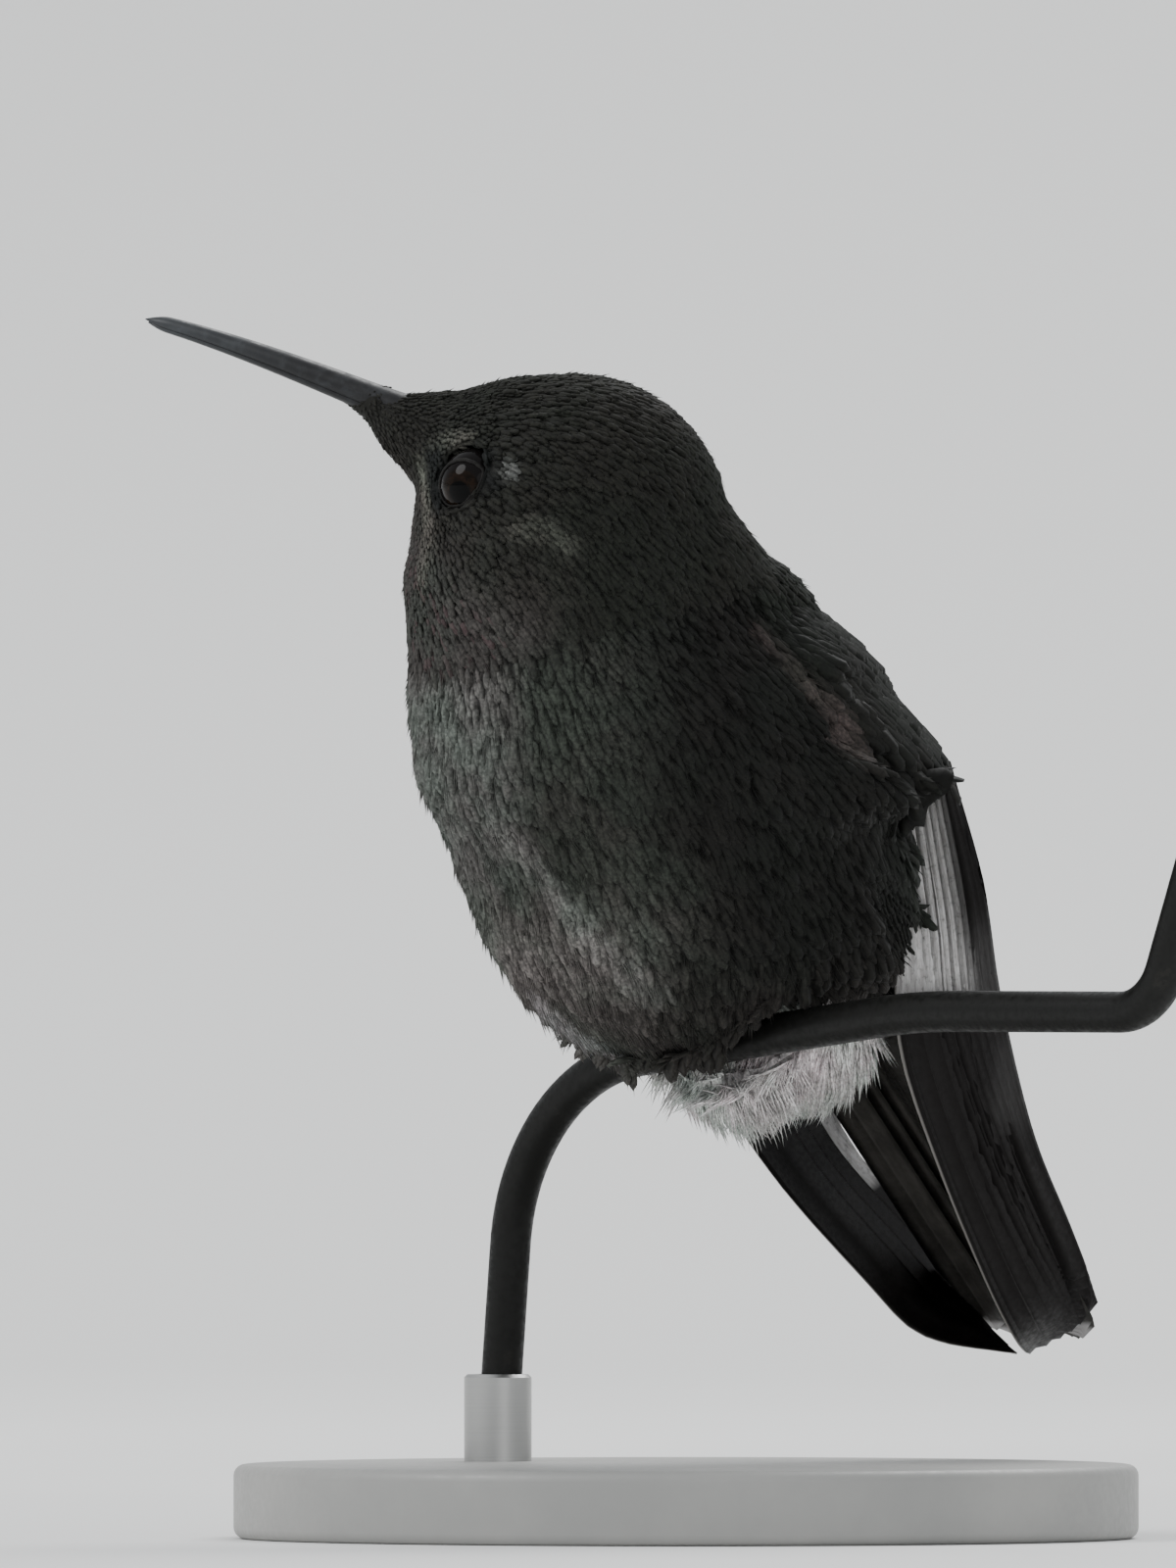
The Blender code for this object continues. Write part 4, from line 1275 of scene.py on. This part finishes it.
def bladeFeather(rows, half):
    # one closed feather, a thin vane each side of a raised shaft
    # each row holds its place, sideways and upward directions, and the widths of the front and back vanes
    points, leaf = [], []
    for i, (at, side, up, front, back) in enumerate(rows):
        t = i / (len(rows) - 1)
        rib = shaftHalf * (1 - 0.8 * t) + 0.02 * mm
        ring = (
            (-front, 0.0, -1.0), (-front * 0.5, half * 0.9, -0.5), (-rib, half, -0.05),
            (0, half + rib, 0.0), (rib, half, 0.05), (back * 0.5, half * 0.9, 0.5),
            (back, 0.0, 1.0), (back * 0.5, -half * 0.9, 0.5), (rib, -half, 0.05),
            (0, -half - rib * 0.8, 0.0), (-rib, -half, -0.05), (-front * 0.5, -half * 0.9, -0.5),
        )
        for across, rise, where in ring:
            dip = -0.10 * across * across / mm
            points.append(at + side * across + up * (rise + dip * 0.5))
            leaf.append((where, t, 1.0 if rise > 0 else -1.0 if rise < 0 else 0.0))
    return points, ringFaces(len(ring), len(rows)), leaf


def vaneWidth(t, full, tipStart, root):
    grow = root + (1 - root) * smooth(0.0, 0.18, t)
    if t > tipStart:
        grow *= math.sqrt(max(0.0, 1 - ((t - tipStart) / (1 - tipStart)) ** 2)) * 0.97 + 0.03
    return full * grow


def featherFan(name, feathers, material, slot, node):
    # joins feathers into one piece and numbers them from 0, the first, to 1, the last
    leaf, number = [], []
    for k, (some, _, where) in enumerate(feathers):
        leaf += where
        number += [k / (len(feathers) - 1)] * len(some)
    mesh = joined(name, [feather[:2] for feather in feathers])
    store(mesh, "leaf", leaf, "FLOAT_VECTOR")
    store(mesh, "number", number)
    return riding(addObject(name, mesh, material), slot, node)


def wingGrid(first, second, bow):
    grid = []
    n = wing["columns"]
    for i, (a, b) in enumerate(zip(first, second)):
        lift = bow(i / (len(first) - 1))
        grid.append([a.lerp(b, j / n) + lift * math.sin(math.pi * j / n) for j in range(n + 1)])
    return grid


def bladesOn(grid, side, count, reach, rootAcross, tipAcross, web, offsets):
    # feathers fanned over a grid from its front edge (0) to its back edge (1); the first lies innermost
    made = []
    least = 0.04 * mm
    for k in range(count):
        order = k / (count - 1)
        lift = offsets[0] + (offsets[1] - offsets[0]) * order
        rows = []
        for i in range(wing["stations"]):
            u = i / (wing["stations"] - 1)
            s = u * reach(order)
            t = rootAcross(order) + (tipAcross(order) - rootAcross(order)) * smooth(0.0, 1.0, u)
            at = surfaceAt(grid, s, t)
            ahead = surfaceAt(grid, s + 0.01, t) - surfaceAt(grid, s - 0.01, t)
            over = surfaceAt(grid, s, min(1, t + 0.06)) - surfaceAt(grid, s, max(0, t - 0.06))
            outward = ahead.cross(over).normalized() * -side
            nearEdge, farEdge = surfaceAt(grid, s, 0.0), surfaceAt(grid, s, 1.0)
            full = (farEdge - nearEdge).length * web
            front = min(vaneWidth(u, full * 0.5, 0.92, 0.9), (nearEdge - at).length + 0.03 * mm)
            back = min(vaneWidth(u, full, 0.92, 0.9), (farEdge - at).length + 0.05 * mm)
            widths = (max(front, least), max(back, least))
            rows.append((at + outward * lift, over.normalized(), outward, *widths))
        made.append(bladeFeather(rows, wing["vaneHalf"]))
    return made


def flightFinish(name, base, ridge, tips, upper):
    made = Finish(name, Specular_IOR_Level=0.13)
    across, along, rise = made.split(made.stored("leaf", "Vector"))
    side = made.node("ShaderNodeMath", {"operation": "ABSOLUTE"}, {0: across})
    # slanting barbs, 260 to the feather's length
    barbs = made.node("ShaderNodeMath", {"operation": "SINE"}, {0: (along * 260.0 - side * 34.0) * 6.2832})
    cloud = made.noise(420, 4)
    fine = made.noise(3000, 3)
    stretched = {0: across * 3.0, 1: along * 9.0, 2: made.stored("number") * 40.0}
    streaks = made.noise(4.0, 4, 0.7, made.node("ShaderNodeCombineXYZ", values=stretched))
    shades = ((0.75, 0), (1.35, 0), (2.5, 0.01))
    darker, lighter, edge = (tuple(k * c + more for c in base) for k, more in shades)
    colour = made.mix(made.spread(cloud, 0.3, 0.7), darker, lighter)
    colour = made.mix(made.spread(side, 0.10, 0.02) * 0.5, colour, ridge)
    colour = made.mix(made.spread(rise, -0.3, 0.3) * made.spread(cloud, 0.0, 0.15), colour, upper)
    colour = made.mix(made.spread(side, 0.90, 1.0) * 0.35, colour, edge)
    # painted reflection of the bright sky on the upper wing, streaked along the feathers
    pale = made.mix(made.spread(streaks, 0.35, 0.65), (0.46, 0.44, 0.43), (0.72, 0.71, 0.70))
    colour = made.mix(made.stored("skyReflection") * made.spread(fine, 0.05, 0.5), colour, pale)
    # painted highlight along the first feather's outer edge
    colour = made.mix(made.stored("rim"), colour, (0.60, 0.57, 0.54))
    colour = made.mix(made.spread(along, 0.970, 0.988) * made.stored("tipWhite"), colour, tips)
    made.set("Base Color", colour)
    made.set("Roughness", 0.38 + 0.22 * made.spread(fine, 0.3, 0.7) + 0.04 * barbs)
    made.bump(barbs * 0.35 + fine * 0.4, 0.03 * mm, 0.45)
    return made.material


def flightMarks(mesh, side, inner=False):
    # painted sky reflection on the upper wing, a painted highlight along the outer edge of the first feather,
    # and on the right wing a painted glint on the hind edge
    x, y, z = (pointsOf(mesh) / mm).T
    y = y * side
    across = 0.7071 * (x + y) + 0.17 * (z - 43.0)
    # painted reflection of the sky on the upper wing
    skyReflection = smooth(32.5, 35.5, z) * smooth(16.7, 15.6, across) * 0.95
    skyReflection += 0.06 * smooth(31.5, 34.0, z) * smooth(39.5, 36.0, z) * smooth(19.5, 18.0, across)
    skyReflection += 0.04 * smooth(24.0, 27.0, z) * smooth(32.0, 30.0, z) * smooth(17.2, 18.6, x)
    # a painted glint on the right wing's hind edge
    if side > 0:
        skyReflection += nearLine(np.stack([x, y, z], 1), glint, 0.7)
    if inner:
        skyReflection = skyReflection * smooth(7.0, 9.0, y)
    store(mesh, "skyReflection", np.clip(skyReflection, 0, 1))
    across = readArray(mesh.attributes["leaf"].data, "vector", 3)[:, 0]
    number = readArray(mesh.attributes["number"].data, "value")
    # painted highlight along the outer edge of the first feather
    store(mesh, "rim", (number < 0.01) * (across < -0.9) * 0.8)
    store(mesh, "tipWhite", 0 * x)


def buildWings():
    flight = flightFinish("flight_feather", **flightLook)
    for side, word in ((-1, "left"), (1, "right")):
        leading, trailing, inner = (
            splineThrough([Vector((x, y * side, z)) * mm for x, y, z in wing[edge]], wing[count])
            for edge, count in (("leading", "rows"), ("trailing", "rows"), ("inner", "innerRows"))
        )
        bow = Vector((0.5, 0.8 * side, 0)) * 1.2 * mm
        blades = bladesOn(
            wingGrid(leading, trailing, lambda s: bow * (1 - s)), side, wing["primaries"],
            lambda o: 1 - 0.15 * o**2.4, lambda o: 0.05 + 0.86 * o,
            lambda o: 0.03 + 0.95 * (1 - (1 - o) ** 2.2), 0.46, (-0.22 * mm, 0.22 * mm),
        )
        fan = featherFan(f"primaries_{word}", blades, flight, "flight_feathers", f"wing_{word}_primaries")
        flightMarks(fan.data, side)
        tuck = Vector((-0.15, -1.2 * side, 0)) * mm
        outer = [point + tuck for point in trailing[:wing["innerRows"]]]
        blades = bladesOn(
            wingGrid(outer, inner, lambda s: Vector((1.0, 0, 0)) * mm), side, wing["secondaries"],
            lambda o: 1 - 0.35 * o**1.3, lambda o: 0.06 + 0.8 * o,
            lambda o: 0.05 + 0.85 * o, 0.5, (-0.15 * mm, 0.2 * mm),
        )
        fan = featherFan(f"secondaries_{word}", blades, flight, "flight_feathers", f"wing_{word}_secondaries")
        flightMarks(fan.data, side, inner=True)


def tailFeather(order, side):
    # order runs from 0 at the middle pair to 1 at the outer pair
    along, across, up = (tailAxes.col[i].copy() for i in range(3))
    gap = 0.55 * mm
    rootY = side * (0.25 * mm + tail["rootHalf"] * order)
    tipY = side * (gap + (tail["tipHalf"] - tail["vaneHalf"] * 0.8 - gap) * order)
    reachTo = tail["length"] - tail["rounding"] * order**2 - 0.1 * mm
    height = (0.7 - 0.9 * order) * mm
    rows = []
    for i in range(tail["stations"]):
        u = i / (tail["stations"] - 1)
        y = rootY + (tipY - rootY) * u
        at = bird["tailRoot"] + along * reachTo * u + across * y + up * (height - 0.035 * y * y / mm)
        width = vaneWidth(u, tail["vaneHalf"], 0.90, 0.5)
        rows.append((at, across * side, up, width, width * (1.0 if order < 1 else 0.8)))
    return bladeFeather(rows, tail["thickHalf"])


def buildTail():
    grey = flightFinish("tail_feather", **tailLook)
    for group, (ranks, sides) in tail["groups"].items():
        feathers = [tailFeather(rank / (tail["pairs"] - 1), side) for rank in ranks for side in sides]
        mesh = featherFan(f"tail_feathers_{group}", feathers, grey, "tail_feathers", f"tail_{group}").data
        for name in ("skyReflection", "rim", "tipWhite"):
            pale = name == "tipWhite" and group != "centre"
            store(mesh, name, np.full(len(mesh.vertices), float(pale)))


buildWings()
buildTail()
print("flight feathers and tail")


# feet: scaled toes that curl round the wire, each with a claw

feet = {
    "spread": 3.4 * mm,
    "toe": 0.33 * mm,
    "clearance": 0.10 * mm,
    "spacing": 0.85 * mm,
    "sweep": math.radians(145),
    "points": 28,
    "sides": 12,
}
wireShape = {
    "radius": 1.27 * mm,
    # y, z and the bend's radius, in mm
    "corners": (
        (16.5, 6.4, 0.0), (14.4, 28.6, 13.0), (-20.0, 32.7, 60.0), (-40.4, 32.7, 4.2), (-44.8, 44.0, 0.0),
    ),
    "bendStep": 3.0,  # degrees between points of a bend
    "bevel": 0.15,  # mm, at each end
    "sides": 40,
}


def wirePath():
    corners = [vec(0, y, z) for y, z, _ in wireShape["corners"]]
    path = [corners[0]]
    for i in range(1, len(corners) - 1):
        radius = wireShape["corners"][i][2] * mm
        back = (corners[i - 1] - corners[i]).normalized()
        ahead = (corners[i + 1] - corners[i]).normalized()
        half = back.angle(ahead) / 2
        centre = corners[i] + (back + ahead).normalized() * radius / math.sin(half)
        start = corners[i] + back * radius / math.tan(half)
        end = corners[i] + ahead * radius / math.tan(half)
        steps = max(6, round(math.degrees(math.pi - 2 * half) / wireShape["bendStep"]))
        for step in range(steps + 1):
            aim = (start - centre).lerp(end - centre, step / steps)
            path.append(centre + aim.normalized() * radius)
    path.append(corners[-1])
    return path


def wireHeight(y):
    path = wirePath()
    for low, high in zip(path, path[1:]):
        if low.y >= y >= high.y:
            return low.lerp(high, (low.y - y) / (low.y - high.y)).z
    return path[0].z


def wireFinish():
    made = Finish("wire_paint", Coat_Weight=0.05, Coat_Roughness=0.2, Specular_IOR_Level=0.16)
    cloud = made.noise(160, 5, warp=0.3)
    fine = made.noise(2400, 3)
    lighterShare = made.spread(cloud, 0.58, 0.70) * made.spread(fine, 0.4, 0.6)
    rough = 0.36 + 0.30 * made.spread(fine, 0.3, 0.7)
    height = fine * 0.6 + cloud * 0.4
    dark, light = (0.0075, 0.0075, 0.0068), (0.030, 0.028, 0.025)
    return made.done(lighterShare * 0.5, dark, light, rough, height, 0.05 * mm, 0.5)


def buildWire():
    path = wirePath()
    ends = []
    for end, nextTo in ((path[0], path[1]), (path[-1], path[-2])):
        ends.append(end + (nextTo - end).normalized() * wireShape["bevel"] * mm)
    full = [path[0], ends[0], *path[1:-1], ends[1], path[-1]]
    radii = [wireShape["radius"]] * len(full)
    radii[0] = radii[-1] = wireShape["radius"] * 0.86
    mesh = joined("wire", [tubeAlong(full, radii, wireShape["sides"])])
    mesh.set_sharp_from_angle(angle=math.radians(40))
    riding(addObject("wire", mesh, wireFinish()), "wire_paint", "perch_wire")


def footFinish():
    made = Finish("foot_skin")
    values = {"Vector": made.place(), "Scale": 3600.0}
    scales = made.node("ShaderNodeTexVoronoi", values=values, out="Distance")
    cloud = made.noise(900, 3)
    tint, rough = made.spread(cloud, 0.3, 0.7), 0.45 + 0.25 * cloud
    return made.done(tint, (0.010, 0.009, 0.009), (0.035, 0.030, 0.027), rough, scales, 0.06 * mm, 0.8)


def toe(y, out, sweep, around):
    path, radii = [], []
    for k in range(feet["points"]):
        t = k / (feet["points"] - 1)
        turn = sweep * t
        at = y + out * (0.2 + 0.8 * min(1, t * 2))
        claw = smooth(0.78, 1.0, t)
        knuckle = 1 + 0.10 * math.cos(t * 9 * math.pi)
        radii.append(feet["toe"] * knuckle * (1 - 0.88 * claw))
        reachOut = around - feet["toe"] * 0.3 * claw
        path.append(Vector((-math.sin(turn) * reachOut, at, wireHeight(at) + math.cos(turn) * reachOut)))
    return tubeAlong(path, radii, feet["sides"])


def buildFeet():
    skinLooks = footFinish()
    around = wireShape["radius"] + feet["clearance"] + feet["toe"]
    for side, word in ((-1, "left"), (1, "right")):
        y = feet["spread"] * side
        ankle = Vector((0, y, wireHeight(y) + around - 0.1 * mm))
        knee = Vector((0.2 * mm, y, wireHeight(y) + 2.45 * mm))
        leg = [ankle, ankle.lerp(knee, 0.5), knee]
        parts = [tubeAlong(leg, [0.5 * mm, 0.42 * mm, 0.45 * mm], feet["sides"])]
        parts += [toe(y, step * feet["spacing"], feet["sweep"], around) for step in (-1, 0, 1)]
        parts.append(toe(y, 0.0, -feet["sweep"], around))
        mesh = joined(f"foot_{word}", parts)
        riding(addObject(f"foot_{word}", mesh, skinLooks), "leg_skin", f"leg_{word}")


buildWire()
buildFeet()
print("wire and feet")


# stand: a turned round base with a short socket rod

stand = {
    "radius": 28.0 * mm,
    "height": 4.6 * mm,
    "edge": 0.7 * mm,
    "edgeSteps": 5,
    "rod": 2.1 * mm,
    "rodTop": 10.0 * mm,
    "rodBevel": 0.2 * mm,
    "sides": 160,
    "rodSides": 64,
}


def lathe(name, profile, sides, centre=Vector((0, 0, 0))):
    points = []
    for radius, height in profile:
        for k in range(sides):
            turn = 2 * math.pi * k / sides
            points.append(centre + Vector((math.cos(turn) * radius, math.sin(turn) * radius, height)))
    mesh = joined(name, [(points, ringFaces(sides, len(profile)))])
    mesh.set_sharp_from_angle(angle=math.radians(35))
    return mesh


def baseFinish():
    made = Finish("stand_paint", Coat_Weight=0.1, Coat_Roughness=0.4)
    cloud = made.noise(60, 4)
    fine = made.noise(1800, 3)
    tint, rough = made.spread(cloud, 0.3, 0.7), 0.42 + 0.2 * made.spread(fine, 0.3, 0.7)
    height = fine * 0.7 + cloud * 0.3
    return made.done(tint, (0.30, 0.30, 0.29), (0.36, 0.355, 0.34), rough, height, 0.03 * mm, 0.4)


def rodFinish():
    made = Finish("rod_steel", Metallic=0.95)
    values = {0: made.place(), 1: (60, 60, 9000)}  # drawn out into rings round the rod
    rings = made.node("ShaderNodeVectorMath", {"operation": "MULTIPLY"}, values)
    turned = made.noise(1.0, 4, at=rings)
    dark, light = (0.40, 0.40, 0.39), (0.52, 0.52, 0.51)
    return made.done(turned, dark, light, 0.28 + 0.2 * turned, turned, 0.02 * mm, 0.4)


def buildBase():
    r, h, e, n = stand["radius"], stand["height"], stand["edge"], stand["edgeSteps"]
    turns = [math.pi / 2 * k / n for k in range(n + 1)]
    profile = [(r - e, 0.0)]
    profile += [(r - e + e * math.sin(turn), e - e * math.cos(turn)) for turn in turns[1:]]
    profile += [(r - e + e * math.cos(turn), h - e + e * math.sin(turn)) for turn in turns]
    mesh = lathe("base_disc", profile, stand["sides"])
    riding(addObject("base_disc", mesh, baseFinish()), "stand_paint", "stand_base")


def buildRod():
    foot = wirePath()[0]
    hole = wireShape["radius"] + 0.06 * mm
    rod, top, bevel = stand["rod"], stand["rodTop"], stand["rodBevel"]
    profile = [
        (rod, stand["height"] - bevel), (rod, top - bevel), (rod - bevel, top), (hole, top),
        (hole, top - 1.0 * mm),
    ]
    mesh = lathe("socket_rod", profile, stand["rodSides"], Vector((foot.x, foot.y, 0)))
    riding(addObject("socket_rod", mesh, rodFinish()), "rod_steel", "stand_rod")


buildBase()
buildRod()
print("stand")
